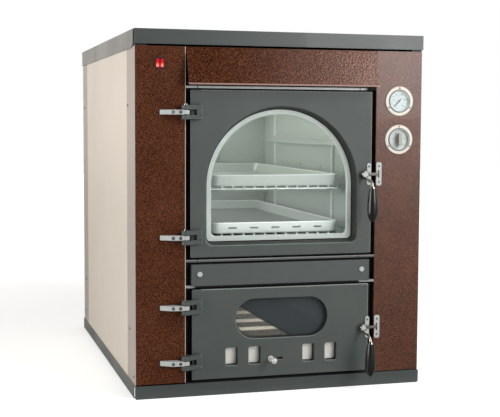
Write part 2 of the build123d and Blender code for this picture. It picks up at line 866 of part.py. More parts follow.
def rack_guide():
    """Right-hand rack guide: uprights against the chamber wall with a folded ledge at each level."""
    with BuildPart() as guide:
        for upright_start in upright_starts:
            block((chamber_half - upright_depth, chamber_half),
                  (upright_start, upright_start + upright_width),
                  (chamber_floor, chamber_roof - upright_top_gap))
        for top in ledge_tops:
            step = chamber_half - ledge_lip
            ledge_path = [
                (chamber_half, top),
                (step, top),
                (step, top - ledge_drop),
                (step - ledge_reach, top - ledge_drop),
                (step - ledge_reach, top - 2 * ledge_drop),
            ]
            add(folded(facing(ledge_span[1]), ledge_path, ledge_span[1] - ledge_span[0]))
    return guide.part


right_guide = rack_guide()
with BuildPart() as rack_guides:
    add([right_guide, mirrored(right_guide)])
finish(rack_guides.part, "rack_guides")

# Wire racks: a rod frame under a row of long wires, on the two lower ledges
rack_half = chamber_half - ledge_lip - rack_side_gap - rack_rod / 2
rack_span = (frame_back_depth + rack_front, rack_end)
rack_tops = []
with BuildPart() as wire_racks:
    for ledge_top in ledge_tops[:2]:
        rod_z = ledge_top - ledge_drop + slip + rack_rod / 2
        wire_z = rod_z + rack_rod / 2 + rack_wire / 2 - rack_weld
        rack_tops.append(wire_z + rack_wire / 2)
        for side in (-1, 1):
            cylinder(side * rack_half, rod_z, rack_rod / 2, rack_span)
        for rod_depth in (rack_span[0] + rack_rod / 2, rack_span[1] - rack_rod / 2):
            with BuildSketch(Plane.YZ.offset(-rack_half)) as rod_end:
                with Locations((depth(rod_depth), rod_z)):
                    Circle(rack_rod / 2)
            extrude(rod_end.sketch, amount=2 * rack_half)
        for place in range(rack_wire_count):
            wire_x = (place - (rack_wire_count - 1) / 2) * rack_wire_pitch
            cylinder(wire_x, wire_z, rack_wire / 2, rack_span)
finish(wire_racks.part, "wire_racks")

# Trays: flared pans, the lower one with a row of slots in its front wall
tray_start = frame_back_depth + tray_front
tray_draft = degrees(atan(tray_flare / tray_height))
tray_width = 2 * (chamber_half - ledge_lip - ledge_reach - tray_side_room)


def tray_form(bottom, height, inset):
    """Block whose walls lean outward, smaller all round by the inset."""
    with BuildPart() as form:
        with BuildSketch(Plane.XY.offset(bottom)):
            with Locations((0, depth(tray_start + tray_length / 2))):
                RectangleRounded(tray_width - 2 * (tray_flare + inset), tray_length - 2 * (tray_flare + inset),
                                 tray_corner - inset)
        extrude(amount=height, taper=-tray_draft)
    return form.part


def tray(floor_z):
    """Open pan with leaning walls, resting at this height."""
    with BuildPart() as pan:
        add(tray_form(floor_z, tray_height, 0))
        add(tray_form(floor_z + tray_wall, tray_height, tray_wall), mode=Mode.SUBTRACT)
    return pan.part


tray_upper = tray(rack_tops[1] + slip)
finish(tray_upper, "tray_upper")
with BuildPart() as tray_lower:
    add(tray(rack_tops[0] + slip))
    with BuildSketch(facing(tray_start + 2 * tray_flare)):
        with Locations((0, rack_tops[0] + slip + tray_height / 2)):
            with GridLocations(tray_slot_pitch, 0, tray_slot_count, 1):
                SlotOverall(tray_slot_width, tray_slot_height)
    extrude(amount=2 * tray_flare + overrun, mode=Mode.SUBTRACT)
finish(tray_lower.part, "tray_lower")

# Oven lamp: glass dome in a collar, on the rear wall
with BuildPart() as oven_lamp:
    cylinder(lamp_x, lamp_z, lamp_radius, (chamber_end_depth - lamp_collar, chamber_end_depth))
    with BuildSketch(Plane.YZ.offset(lamp_x)):
        with BuildLine():
            dome_start = depth(chamber_end_depth - lamp_collar)
            dome_top = (dome_start, lamp_z + lamp_radius - lamp_collar)
            dome_nose = (depth(chamber_end_depth - lamp_reach), lamp_z)
            TangentArc(dome_nose, dome_top, tangent=(0, 1))
            Polyline(dome_nose, (dome_start, lamp_z), dome_top)
        make_face()
    revolve(axis=Axis((lamp_x, dome_start, lamp_z), (0, 1, 0)))
finish(oven_lamp.part, "oven_lamp")

# Fan: slotted guard on the rear wall, blade wheel on its shaft, motor behind the insulation
guard_face_depth = chamber_end_depth - guard_depth
with BuildPart() as fan_guard:
    cylinder(fan_x, fan_z, guard_radius, (guard_face_depth, chamber_end_depth))
    fillet(fan_guard.faces().sort_by(Axis.Y)[0].edges(), guard_edge)
    cylinder(fan_x, fan_z, guard_radius - guard_wall,
             (guard_face_depth + guard_wall, chamber_end_depth + overrun), mode=Mode.SUBTRACT)
    with BuildSketch(facing(guard_face_depth + guard_wall + overrun)):
        with Locations((fan_x, fan_z)):
            with PolarLocations((guard_slot_inner + guard_slot_outer) / 2, guard_slot_count):
                SlotOverall(guard_slot_outer - guard_slot_inner, guard_slot_width)
    extrude(amount=guard_wall + 2 * overrun, mode=Mode.SUBTRACT)
finish(fan_guard.part, "fan_guard")

motor_end_depth = insulation_end_depth + motor_length
shaft_end_depth = insulation_end_depth + fan_shaft_bite
with BuildPart() as fan_motor:
    cylinder(fan_x, fan_z, motor_radius, (insulation_end_depth, motor_end_depth))
    fillet(fan_motor.faces().sort_by(Axis.Y)[-1].edges(), motor_edge)
    cylinder(fan_x, fan_z, fan_sleeve_radius, (chamber_end_depth, insulation_end_depth))
    cylinder(fan_x, fan_z, fan_shaft_radius + bore_play, (chamber_end_depth - overrun, shaft_end_depth),
             mode=Mode.SUBTRACT)
finish(fan_motor.part, "fan_motor")

wheel_end_depth = chamber_end_depth - fan_wheel_gap
wheel_start_depth = wheel_end_depth - fan_wheel_depth
with BuildPart() as fan_wheel:
    cylinder(fan_x, fan_z, fan_shaft_radius, (wheel_start_depth, shaft_end_depth - slip))
    cylinder(fan_x, fan_z, fan_hub_radius, (wheel_start_depth, wheel_end_depth))
    with BuildSketch(facing(wheel_end_depth)):
        with Locations((fan_x, fan_z)):
            with PolarLocations((fan_blade_root + fan_blade_radius) / 2, fan_blade_count):
                Rectangle(fan_blade_radius - fan_blade_root, fan_blade_thickness)
    extrude(amount=fan_wheel_depth)
finish(fan_wheel.part, "fan_wheel")

# Hinge arms: leaf-shaped brackets on the left stile, flat at the back and bored for the pin
arm_belly_depth = cladding_setback - arm_belly_radius
arm_front_depth = -pin_front - arm_hub_radius
arm_seat_depth = arm_belly_depth - arm_belly_radius + arm_screw_sink


def hinge_arm(hinge_z):
    """Hinge arm with its pin bore and two sunk screw holes."""
    with BuildPart() as arm:
        with BuildSketch(Plane.XY.offset(hinge_z - arm_height / 2)):
            with Locations((pin_x, pin_y)):
                Circle(arm_hub_radius)
            with Locations((pin_x - arm_belly_offset, depth(arm_belly_depth))):
                Circle(arm_belly_radius)
            with Locations((pin_x - arm_length + arm_tip_radius, depth(cladding_setback - arm_tip_radius))):
                Circle(arm_tip_radius)
            make_hull()
        extrude(amount=arm_height)
        chamfer(arm.faces().filter_by(Axis.Z).edges(), arm_edge)
        upright_cylinder(pin_x, pin_y, pin_radius + arm_bore_play,
                         (hinge_z - arm_height, hinge_z + arm_height), mode=Mode.SUBTRACT)
        for reach in (arm_screw_first, arm_screw_second):
            cylinder(pin_x - reach, hinge_z, arm_screw_radius + slip,
                     (arm_front_depth - overrun, cladding_setback + overrun), mode=Mode.SUBTRACT)
            cylinder(pin_x - reach, hinge_z, arm_screw_head + slip,
                     (arm_front_depth - overrun, arm_seat_depth), mode=Mode.SUBTRACT)
    return arm.part


with BuildPart() as hinge_arms:
    for hinge_z in hinge_heights:
        add(hinge_arm(hinge_z))
finish(hinge_arms.part, "hinge_arms")

with BuildPart() as hinge_arm_screws:
    for screw_x, screw_z in arm_screw_places:
        add(headed_pin(screw_x, screw_z, arm_screw_head, arm_screw_head_height, arm_screw_radius,
                       arm_seat_depth, arm_seat_depth + arm_screw_length, arm_edge))
finish(hinge_arm_screws.part, "hinge_arm_screws")

with BuildPart() as hinge_pins:
    for hinge_z in hinge_heights:
        head_z = hinge_z + clevis_half + slip
        upright_cylinder(pin_x, pin_y, pin_radius, (hinge_z - clevis_half, head_z))
        upright_cylinder(pin_x, pin_y, pin_head_radius, (head_z, head_z + pin_head_height))
finish(hinge_pins.part, "hinge_pins")


def clevis(hinge_z, door_edge):
    """Pair of ears that reach from a door's face to the hinge pin, with the web between them."""
    tail_x = pin_x + ear_tail
    root_depth = door_face_depth + ear_root
    slot_half = arm_height / 2 + arm_play
    with BuildPart() as ears:
        for ear_bottom in (hinge_z - clevis_half, hinge_z + slot_half):
            with BuildSketch(Plane.XY.offset(ear_bottom)):
                with Locations((pin_x, pin_y)):
                    Circle(ear_radius)
                with BuildLine():
                    Polyline((door_edge, depth(root_depth)), (tail_x, depth(door_face_depth)),
                             (tail_x, depth(root_depth)), close=True)
                make_hull()
            extrude(amount=ear_thickness)
        block((pin_x + ear_web_start, tail_x), (door_face_depth - ear_web_height, root_depth),
              (hinge_z - slot_half, hinge_z + slot_half))
        upright_cylinder(pin_x, pin_y, pin_radius + bore_play,
                         (hinge_z - clevis_half - overrun, hinge_z + clevis_half + overrun), mode=Mode.SUBTRACT)
    return ears.part


# Doors: cast plates with a land round the back and a groove in it for the rope gasket
groove_depth = door_back_depth - gasket_seat
gasket_face_depth = frame_face_depth - slip


def border(distance, width, bottom, top, outer_inset, inner_inset):
    """Rectangular ring on a plane facing the front, inset from the edges of a door."""
    with BuildSketch(facing(distance)) as ring:
        with Locations((0, (bottom + top) / 2)):
            RectangleRounded(width - 2 * outer_inset, top - bottom - 2 * outer_inset, door_corner)
            RectangleRounded(width - 2 * inner_inset, top - bottom - 2 * inner_inset, door_corner,
                             mode=Mode.SUBTRACT)
    return ring.sketch


def door_blank(width, bottom, top):
    """Door plate with its land and gasket groove, before its windows are cut."""
    with BuildPart() as blank:
        extrude(upright_box(door_back_depth, 0, (bottom + top) / 2, width, top - bottom, door_corner),
                amount=door_thickness)
        chamfer(blank.faces().sort_by(Axis.Y)[0].edges(), door_edge_chamfer)
        extrude(border(land_depth, width, bottom, top, 0, land_width), amount=land_depth - door_back_depth)
        extrude(border(land_depth + overrun, width, bottom, top, gasket_inset - slip,
                       gasket_inset + gasket_width + slip),
                amount=land_depth + overrun - groove_depth, mode=Mode.SUBTRACT)
    return blank.part


def door_gasket(width, bottom, top):
    """Rope gasket that fills the groove and stands out towards the front frame."""
    with BuildPart() as gasket:
        extrude(border(gasket_face_depth, width, bottom, top, gasket_inset, gasket_inset + gasket_width),
                amount=gasket_face_depth - groove_depth)
    return gasket.part


# Oven door: arched window at the back of a drafted well
with BuildPart() as oven_door:
    add(door_blank(oven_door_width, oven_door_bottom, oven_door_top))
    extrude(arch(well_end_depth, well_wall), amount=well_end_depth - door_back_depth + ear_root)
    extrude(arch(well_end_depth, 0), amount=well_depth + overrun, taper=-window_draft_angle,
            mode=Mode.SUBTRACT)
    for hinge_z in hinge_heights[:2]:
        add(clevis(hinge_z, -oven_door_width / 2))
finish(oven_door.part, "oven_door")

oven_door_gasket = door_gasket(oven_door_width, oven_door_bottom, oven_door_top)
finish(oven_door_gasket, "oven_door_gasket")

ring_back_depth = well_end_depth - slip
with BuildPart() as oven_window_ring:
    extrude(arch(ring_back_depth, -slip), amount=window_ring_height)
    extrude(arch(ring_back_depth, -window_ring_width), amount=window_ring_height + overrun,
            taper=-degrees(atan(window_ring_bevel / window_ring_height)), mode=Mode.SUBTRACT)
finish(oven_window_ring.part, "oven_window_ring")

glass_back_depth = well_end_depth + glass_thickness
with BuildPart() as oven_window_glass:
    extrude(arch(glass_back_depth, glass_lap), amount=glass_thickness)
finish(oven_window_glass.part, "oven_window_glass")

retainer_back_depth = well_end_depth + retainer_depth
with BuildPart() as oven_glass_retainer:
    extrude(arch(retainer_back_depth, well_wall), amount=retainer_depth)
    extrude(arch(glass_back_depth + slip, glass_lap + slip), amount=glass_thickness + slip + overrun,
            mode=Mode.SUBTRACT)
    extrude(arch(retainer_back_depth + overrun, -retainer_sight), amount=retainer_depth + overrun,
            mode=Mode.SUBTRACT)
finish(oven_glass_retainer.part, "oven_glass_retainer")

# Firebox door: obround window above four air holes, with one flat boss behind them
boss_depth = door_face_depth + door_boss
liner_depth = boss_depth + glass_thickness
liner_back_depth = liner_depth + sheet
air_hole_z = firebox_door_bottom + air_hole_rise
air_hole_far = air_hole_first + air_hole_pitch
air_hole_places = [-air_hole_far, -air_hole_first, air_hole_first, air_hole_far]
shutter_half = air_hole_far + air_hole_width / 2 + shutter_lap
boss_half = air_hole_far + air_hole_width / 2 + boss_margin
boss_half_height = shutter_height / 2 + slip + shutter_rail
knob_x = -knob_rest
knob_z = firebox_door_bottom + knob_rise
with BuildPart() as firebox_door:
    add(door_blank(firebox_door_width, firebox_door_bottom, firebox_door_top))
    extrude(obround(boss_depth, obround_wall), amount=boss_depth - door_back_depth + ear_root)
    block((-boss_half, boss_half), (door_back_depth - ear_root, boss_depth),
          (air_hole_z - boss_half_height, air_hole_z + boss_half_height))
    extrude(obround(boss_depth, 0), amount=door_boss + overrun,
            taper=-degrees(atan(obround_draft / door_boss)), mode=Mode.SUBTRACT)
    with BuildSketch(facing(boss_depth)):
        with Locations([(hole_x, air_hole_z) for hole_x in air_hole_places]):
            RectangleRounded(air_hole_width, air_hole_height, air_hole_corner)
    extrude(amount=door_boss + overrun, taper=-degrees(atan(air_hole_draft / door_boss)), mode=Mode.SUBTRACT)
    with BuildSketch(facing(boss_depth + overrun)):
        with Locations((knob_x + shutter_travel / 2, knob_z)):
            knob_slot_height = 2 * (knob_stem_radius + knob_slot_play)
            SlotOverall(shutter_travel + knob_slot_height, knob_slot_height)
    extrude(amount=door_boss + 2 * overrun, mode=Mode.SUBTRACT)
    for hinge_z in hinge_heights[2:]:
        add(clevis(hinge_z, -firebox_door_width / 2))
finish(firebox_door.part, "firebox_door")

firebox_door_gasket = door_gasket(firebox_door_width, firebox_door_bottom, firebox_door_top)
finish(firebox_door_gasket, "firebox_door_gasket")

with BuildPart() as firebox_window_glass:
    extrude(obround(liner_depth, low_glass_lap), amount=glass_thickness)
finish(firebox_window_glass.part, "firebox_window_glass")

# Liner: plate that clamps the glass, with two rails that guide the shutter
liner_half = firebox_mouth_half - liner_margin
with BuildPart() as firebox_door_liner:
    block((-liner_half, liner_half), (liner_depth, liner_back_depth),
          (firebox_mouth_bottom + liner_edge_gap, firebox_mouth_top - liner_edge_gap))
    for side in (-1, 1):
        rail_z = air_hole_z + side * (boss_half_height - shutter_rail / 2)
        block((-boss_half, boss_half), (boss_depth, liner_depth),
              (rail_z - shutter_rail / 2, rail_z + shutter_rail / 2))
    extrude(obround(liner_back_depth + overrun, -liner_sight), amount=sheet + 2 * overrun, mode=Mode.SUBTRACT)
    block((-shutter_half, shutter_half), (liner_depth - overrun, liner_back_depth + overrun),
          (air_hole_z - air_hole_height / 2, air_hole_z + air_hole_height / 2), mode=Mode.SUBTRACT)
finish(firebox_door_liner.part, "firebox_door_liner")

# Air shutter: slides behind the air holes, with a slot that meets each hole but the first
shutter_depth = boss_depth + slip
with BuildPart() as air_shutter:
    block((-shutter_half, shutter_half), (shutter_depth, shutter_depth + shutter_thickness),
          (air_hole_z - shutter_height / 2, air_hole_z + shutter_height / 2))
    with BuildSketch(facing(shutter_depth + shutter_thickness + overrun)):
        with Locations([(hole_x - shutter_travel, air_hole_z) for hole_x in air_hole_places[1:]]):
            RectangleRounded(shutter_slot_width, air_hole_height, air_hole_corner)
    extrude(amount=shutter_thickness + 2 * overrun, mode=Mode.SUBTRACT)
finish(air_shutter.part, "air_shutter")

ball_depth = door_face_depth - knob_reach
with BuildPart() as shutter_knob:
    cylinder(knob_x, knob_z, knob_stem_radius, (ball_depth, shutter_depth))
    cylinder(knob_x, knob_z, knob_washer_radius,
             (door_face_depth - slip - knob_washer_height, door_face_depth - slip))
    with Locations((knob_x, depth(ball_depth), knob_z)):
        Sphere(knob_ball_radius)
finish(shutter_knob.part, "shutter_knob")

# Latches: plate with a pivot stud on the door, cranked lever with a tongue, turned grip, keeper on the stile
hub_front_depth = hub_back_depth - hub_length
hub_middle_depth = (hub_back_depth + hub_front_depth) / 2
neck_run = hypot(neck_offset, hub_middle_depth - grip_depth)
grip_x = latch_x + neck_offset
grip_y = depth(grip_depth)


def latch_plate(hub_z):
    """Plate on the door's face with the stud that the lever turns on."""
    with BuildPart() as backing:
        with BuildSketch(facing(door_face_depth)):
            with Locations((latch_x + latch_plate_offset, hub_z)):
                SlotOverall(latch_plate_height, latch_plate_width, rotation=90)
            with Locations((latch_x, hub_z)):
                Circle(latch_lobe_radius)
        extrude(amount=latch_plate_thickness)
        cylinder(latch_x, hub_z, hub_pin_radius, (hub_front_depth, door_face_depth - latch_plate_thickness))
        cylinder(latch_x, hub_z, hub_cap_radius, (hub_front_depth, hub_front_depth + hub_cap_height))
    return backing.part


def latch_lever(hub_z):
    """Lever: hub on the stud, tongue towards the keeper, and a neck that curves forward and down."""
    neck_plane = Plane(origin=(latch_x, depth(hub_middle_depth), hub_z),
                       x_dir=(neck_offset, grip_depth - hub_middle_depth, 0),
                       z_dir=(grip_depth - hub_middle_depth, -neck_offset, 0))
    with BuildPart() as lever:
        cylinder(latch_x, hub_z, hub_radius, (hub_front_depth, hub_back_depth))
        chamfer(lever.faces().sort_by(Axis.Y)[0].edges(), hub_edge)
        block((latch_x, latch_x + tongue_length), (hub_back_depth - tongue_thickness, hub_back_depth),
              (hub_z - tongue_height / 2, hub_z + tongue_height / 2))
        with BuildLine(neck_plane) as neck:
            FilletPolyline((0, -hub_radius), (neck_run, -hub_radius - neck_dip),
                           (neck_run, -grip_drop - neck_tang), radius=neck_bend)
        with BuildSketch(Plane(origin=neck.line @ 0, z_dir=neck.line % 0)):
            Circle(neck_radius)
        sweep(path=neck.line)
        with Locations((grip_x, grip_y, hub_z - grip_drop)):
            Cone(ferrule_radius, ferrule_neck, ferrule_height, align=(Align.CENTER, Align.CENTER, Align.MIN))
        cylinder(latch_x, hub_z, hub_cap_radius + slip,
                 (hub_front_depth - overrun, hub_front_depth + hub_cap_height + slip), mode=Mode.SUBTRACT)
        cylinder(latch_x, hub_z, hub_pin_radius + bore_play,
                 (hub_front_depth - overrun, hub_back_depth + overrun), mode=Mode.SUBTRACT)
    return lever.part


def latch_grip(hub_z):
    """Turned grip that hangs from the lever, fuller towards its round end."""
    top = hub_z - grip_drop
    belly = top - grip_belly_drop
    bottom = top - grip_length
    with BuildPart() as grip:
        with BuildSketch(Plane.XZ.offset(-grip_y)):
            with BuildLine():
                widest = (grip_x + grip_belly_radius, belly)
                TangentArc(widest, (grip_x + grip_end_radius, bottom), tangent=(0, -1))
                TangentArc(widest, (grip_x + grip_top_radius, top), tangent=(0, 1))
                Polyline((grip_x + grip_top_radius, top), (grip_x, top), (grip_x, bottom),
                         (grip_x + grip_end_radius, bottom))
            make_face()
        revolve(axis=Axis((grip_x, grip_y, 0), (0, 0, 1)))
        upright_cylinder(grip_x, grip_y, neck_radius + bore_play, (top - neck_tang - slip, top + overrun),
                         mode=Mode.SUBTRACT)
    return grip.part


for door_name, hub_z in (("oven", oven_latch_z), ("firebox", firebox_latch_z)):
    finish(latch_plate(hub_z), f"{door_name}_latch_plate")
    finish(latch_lever(hub_z), f"{door_name}_latch_lever")
    finish(latch_grip(hub_z), f"{door_name}_latch_grip")

keeper_x = opening_half + keeper_edge_gap + keeper_width / 2
keeper_slot_x = opening_half + keeper_edge_gap + keeper_slot_offset
with BuildPart() as latch_keepers:
    for hub_z in (oven_latch_z, firebox_latch_z):
        extrude(upright_box(cladding_setback, keeper_x, hub_z, keeper_width, keeper_height, keeper_corner),
                amount=keeper_thickness)
        extrude(upright_box(cladding_setback + overrun, keeper_slot_x, hub_z, keeper_slot_width,
                            keeper_slot_height),
                amount=keeper_thickness + 2 * overrun, mode=Mode.SUBTRACT)
finish(latch_keepers.part, "latch_keepers")

# Gauges: flanges on the right stile, each with a round case; the upper has a needle, the lower a knob
flange_front_depth = cladding_setback - flange_thickness
case_front_depth = flange_front_depth - case_proud
case_end_depth = case_front_depth + case_length
dial_depth = case_front_depth + dial_sink


def gauge_flange(gauge_z):
    """Round flange with a softened rim."""
    with BuildPart() as flange:
        cylinder(gauge_x, gauge_z, flange_radius, (flange_front_depth, cladding_setback))
        fillet(flange.faces().sort_by(Axis.Y)[0].edges(), flange_edge)
        cylinder(gauge_x, gauge_z, case_radius + slip,
                 (flange_front_depth - overrun, cladding_setback + overrun), mode=Mode.SUBTRACT)
    return flange.part


def gauge_case(gauge_z, shaft_radius, shaft_length):
    """Round case with its rim, a sunk dial, the shaft in its centre and the stem behind."""
    with BuildPart() as case:
        cylinder(gauge_x, gauge_z, case_radius, (case_front_depth, case_end_depth))
        cylinder(gauge_x, gauge_z, case_radius + case_rim, (case_front_depth, flange_front_depth))
        cylinder(gauge_x, gauge_z, case_radius - case_wall, (case_front_depth - overrun, dial_depth),
                 mode=Mode.SUBTRACT)
        cylinder(gauge_x, gauge_z, shaft_radius, (dial_depth - shaft_length, dial_depth))
        cylinder(gauge_x, gauge_z, gauge_stem_radius, (case_end_depth, case_end_depth + gauge_stem_length))
    return case.part


with BuildPart() as gauge_flanges:
    for gauge_z in gauge_heights:
        add(gauge_flange(gauge_z))
finish(gauge_flanges.part, "gauge_flanges")

needle_back_depth = dial_depth - needle_gap
finish(gauge_case(thermometer_z, spindle_radius, needle_gap + needle_thickness + slip), "thermometer_dial")
finish(gauge_case(timer_z, timer_spindle_radius, timer_spindle_length), "timer_dial")

with BuildPart() as thermometer_glass:
    cylinder(gauge_x, thermometer_z, case_radius - case_wall - slip,
             (case_front_depth, case_front_depth + gauge_glass_thickness))
finish(thermometer_glass.part, "thermometer_glass")

with BuildPart() as thermometer_needle:
    with BuildSketch(facing(needle_back_depth)):
        with Locations(Location((gauge_x, thermometer_z, 0), (0, 0, needle_angle))):
            Circle(needle_hub_radius)
            with Locations(((needle_length - needle_tail) / 2, 0)):
                Rectangle(needle_length + needle_tail, needle_width)
            Circle(spindle_radius + bore_play, mode=Mode.SUBTRACT)
    extrude(amount=needle_thickness)
finish(thermometer_needle.part, "thermometer_needle")

timer_bar_depth = needle_back_depth - timer_hub_height
with BuildPart() as timer_knob:
    cylinder(gauge_x, timer_z, timer_hub_radius, (timer_bar_depth, needle_back_depth))
    extrude(upright_box(timer_bar_depth, gauge_x, timer_z, timer_bar_width, timer_bar_length, timer_corner),
            amount=timer_bar_height)
    cylinder(gauge_x, timer_z, timer_spindle_radius + bore_play,
             (dial_depth - timer_spindle_length - slip, needle_back_depth + overrun), mode=Mode.SUBTRACT)
finish(timer_knob.part, "timer_knob")

# Switch: bezel in the left stile with two rocker keys on one pivot
bezel_front_depth = cladding_setback - bezel_proud
pivot_depth = bezel_front_depth + switch_pivot_depth
cavity_width = switch_body_width - 2 * bezel_wall
cavity_height = switch_body_height - 2 * bezel_wall
key_width = (cavity_width - 3 * key_gap) / 2
key_height = cavity_height - 2 * key_swing_room
with BuildPart() as switch_bezel:
    extrude(upright_box(cladding_setback, switch_x, switch_z, bezel_width, bezel_height, bezel_lip),
            amount=bezel_proud)
    extrude(upright_box(cladding_setback + switch_body_length, switch_x, switch_z, switch_body_width,
                        switch_body_height), amount=switch_body_length)
    extrude(upright_box(bezel_front_depth + switch_cavity, switch_x, switch_z, cavity_width, cavity_height),
            amount=switch_cavity + overrun, mode=Mode.SUBTRACT)
    with BuildSketch(Plane.YZ.offset(switch_x - cavity_width / 2)):
        with Locations((depth(pivot_depth), switch_z)):
            Circle(key_pivot_radius)
    extrude(amount=cavity_width)
finish(switch_bezel.part, "switch_bezel")


def switch_key(left_x):
    """Rocker key that rests with its upper end out."""
    with BuildPart() as key:
        with BuildSketch(Plane.YZ.offset(left_x)):
            with Locations(Location((depth(pivot_depth), switch_z, 0), (0, 0, key_tilt))):
                RectangleRounded(key_thickness, key_height, key_corner)
                Circle(key_pivot_radius + bore_play, mode=Mode.SUBTRACT)
        extrude(amount=key_width)
    return key.part


finish(switch_key(switch_x - key_gap / 2 - key_width), "switch_key_left")
finish(switch_key(switch_x + key_gap / 2), "switch_key_right")

# Cable gland in the rear panel: nuts inside and outside, and a bore for the lead
gland_z = base_height + gland_rise
panel_back_depth = post_rear_depth + sheet
with BuildPart() as cable_gland:
    cylinder(gland_x, gland_z, gland_neck_radius, (post_rear_depth - gland_nut, panel_back_depth + gland_reach))
    for nut_back in (post_rear_depth, panel_back_depth + gland_nut):
        with BuildSketch(facing(nut_back)):
            with Locations((gland_x, gland_z)):
                RegularPolygon(gland_radius, gland_nut_sides)
        extrude(amount=gland_nut)
    cylinder(gland_x, gland_z, gland_bore_radius,
             (post_rear_depth - gland_nut - overrun, panel_back_depth + gland_reach + overrun),
             mode=Mode.SUBTRACT)
finish(cable_gland.part, "cable_gland")

# Ash pan: pressed pan on the firebox floor, with a bar handle in front
ash_handle_depth = liner_back_depth + ash_pan_travel + ash_pan_clearance + ash_handle_radius
ash_pan_depth = ash_handle_depth + ash_handle_reach
ash_floor = firebox_floor + slip
ash_handle_z = ash_floor + ash_pan_height / 2
with BuildPart() as ash_pan:
    with BuildSketch(Plane.XY.offset(ash_floor)):
        with Locations((0, depth(ash_pan_depth + ash_pan_length / 2))):
            RectangleRounded(ash_pan_width, ash_pan_length, ash_pan_corner)
    extrude(amount=ash_pan_height)
    offset(amount=-tray_wall, openings=ash_pan.faces().sort_by(Axis.Z)[-1])
    for side in (-1, 1):
        cylinder(side * (ash_handle_width / 2 - ash_handle_radius), ash_handle_z, ash_handle_radius,
                 (ash_handle_depth, ash_pan_depth))
    with BuildSketch(Plane.YZ.offset(-ash_handle_width / 2)):
        with Locations((depth(ash_handle_depth), ash_handle_z)):
            Circle(ash_handle_radius)
    extrude(amount=ash_handle_width)
finish(ash_pan.part, "ash_pan")
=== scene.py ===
"""Wood-fired oven with two cast-iron doors in a sheet-steel cabinet: finishes, small fittings and stage."""

import math
import random

import bmesh
import bpy
from bpy.props import FloatProperty, FloatVectorProperty, PointerProperty
from bpy.types import Operator, Panel, PropertyGroup
from mathutils import Matrix, Vector


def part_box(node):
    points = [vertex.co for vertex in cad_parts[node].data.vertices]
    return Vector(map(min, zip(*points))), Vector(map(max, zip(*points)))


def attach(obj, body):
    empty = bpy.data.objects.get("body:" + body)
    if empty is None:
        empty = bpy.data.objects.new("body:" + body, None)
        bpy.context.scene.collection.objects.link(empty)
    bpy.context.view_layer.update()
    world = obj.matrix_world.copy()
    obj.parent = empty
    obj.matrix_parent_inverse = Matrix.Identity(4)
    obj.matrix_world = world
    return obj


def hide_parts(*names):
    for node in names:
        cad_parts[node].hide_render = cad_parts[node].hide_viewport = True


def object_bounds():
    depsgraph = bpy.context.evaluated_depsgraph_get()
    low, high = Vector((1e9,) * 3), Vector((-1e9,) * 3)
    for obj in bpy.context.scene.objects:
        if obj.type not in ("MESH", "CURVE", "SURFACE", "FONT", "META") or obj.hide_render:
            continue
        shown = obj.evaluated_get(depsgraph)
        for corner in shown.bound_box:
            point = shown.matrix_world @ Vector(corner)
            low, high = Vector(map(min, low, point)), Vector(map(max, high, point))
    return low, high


bl_info = {
    "name": "Wood-fired oven finish",
    "version": (1, 0, 0),
    "blender": (4, 5, 0),
    "location": "3D View > Sidebar > Oven",
    "description": "Paints, metals, gauges, gaskets and small fittings of a wood-fired cabinet oven",
    "category": "Object",
}

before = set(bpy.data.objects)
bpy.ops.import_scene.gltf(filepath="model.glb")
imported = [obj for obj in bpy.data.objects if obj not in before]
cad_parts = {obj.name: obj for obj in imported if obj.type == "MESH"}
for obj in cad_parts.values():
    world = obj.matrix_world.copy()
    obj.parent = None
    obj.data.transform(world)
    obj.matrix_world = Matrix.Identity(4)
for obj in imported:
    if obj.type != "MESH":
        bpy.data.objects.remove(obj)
cad_low, cad_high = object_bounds()

MILLIMETRE = 0.001

# Screws on each side of the cabinet: how far behind the lid's front and how high, in metres
PANEL_SCREWS = (
    (0.112, 0.758), (0.091, 0.170), (0.030, 0.054),
    (0.997, 0.760), (0.976, 0.180), (0.991, 0.070),
)

# Span in which nearly all values of a noise texture lie
NOISE_SPAN = (0.3, 0.7)

# Stretches of a brushed metal's noise: lines across, lines along the depth, upright lines, and no lines
ALONG_X = (0.1, 1.0, 1.0)
ALONG_Y = (1.0, 0.05, 1.0)
ALONG_Z = (1.0, 1.0, 0.1)
EVEN = (1.0, 1.0, 1.0)

# Depth of the finest brush lines and radius of a painted sheet's folds, in metres
FAINT_SCRATCH = 0.000004
PAINTED_FOLD = 0.0009

# Room between a pane and the strip of light behind it, in metres
PANE_GAP = 0.002

# Turns that point a fitting's own Z axis out of one face of the cabinet
TO_FRONT = Matrix.Rotation(math.radians(90), 4, "X")
TO_REAR = Matrix.Rotation(math.radians(-90), 4, "X")
TO_LEFT = Matrix.Rotation(math.radians(-90), 4, "Y")
TO_RIGHT = Matrix.Rotation(math.radians(90), 4, "Y")


def paint(red, green, blue):
    """Linear colour from the 0 to 255 values that a colour picker shows."""
    channels = []
    for value in (red, green, blue):
        share = value / 255
        channels.append(share / 12.92 if share <= 0.04045 else ((share + 0.055) / 1.055) ** 2.4)
    return (*channels, 1.0)


WHITE = paint(255, 255, 255)

# Copper brown that shows where hammered paint has worn off a fold
BARE_FOLD = paint(150, 118, 106)


def colour_choice(label, note, default):
    """Colour setting of a finish."""
    return FloatVectorProperty(name=label, description=note, subtype="COLOR", size=4, min=0.0, max=1.0,
                               default=default)


def length_choice(label, note, millimetres):
    """Length setting of a fitting, given in millimetres and kept in metres."""
    return FloatProperty(name=label, description=note, default=millimetres * MILLIMETRE, min=0.0, precision=4,
                         subtype="DISTANCE", unit="LENGTH")


def power_choice(label, note, watts):
    """Power setting of a lamp."""
    return FloatProperty(name=label, description=note, default=watts, min=0.0, subtype="POWER", unit="POWER")


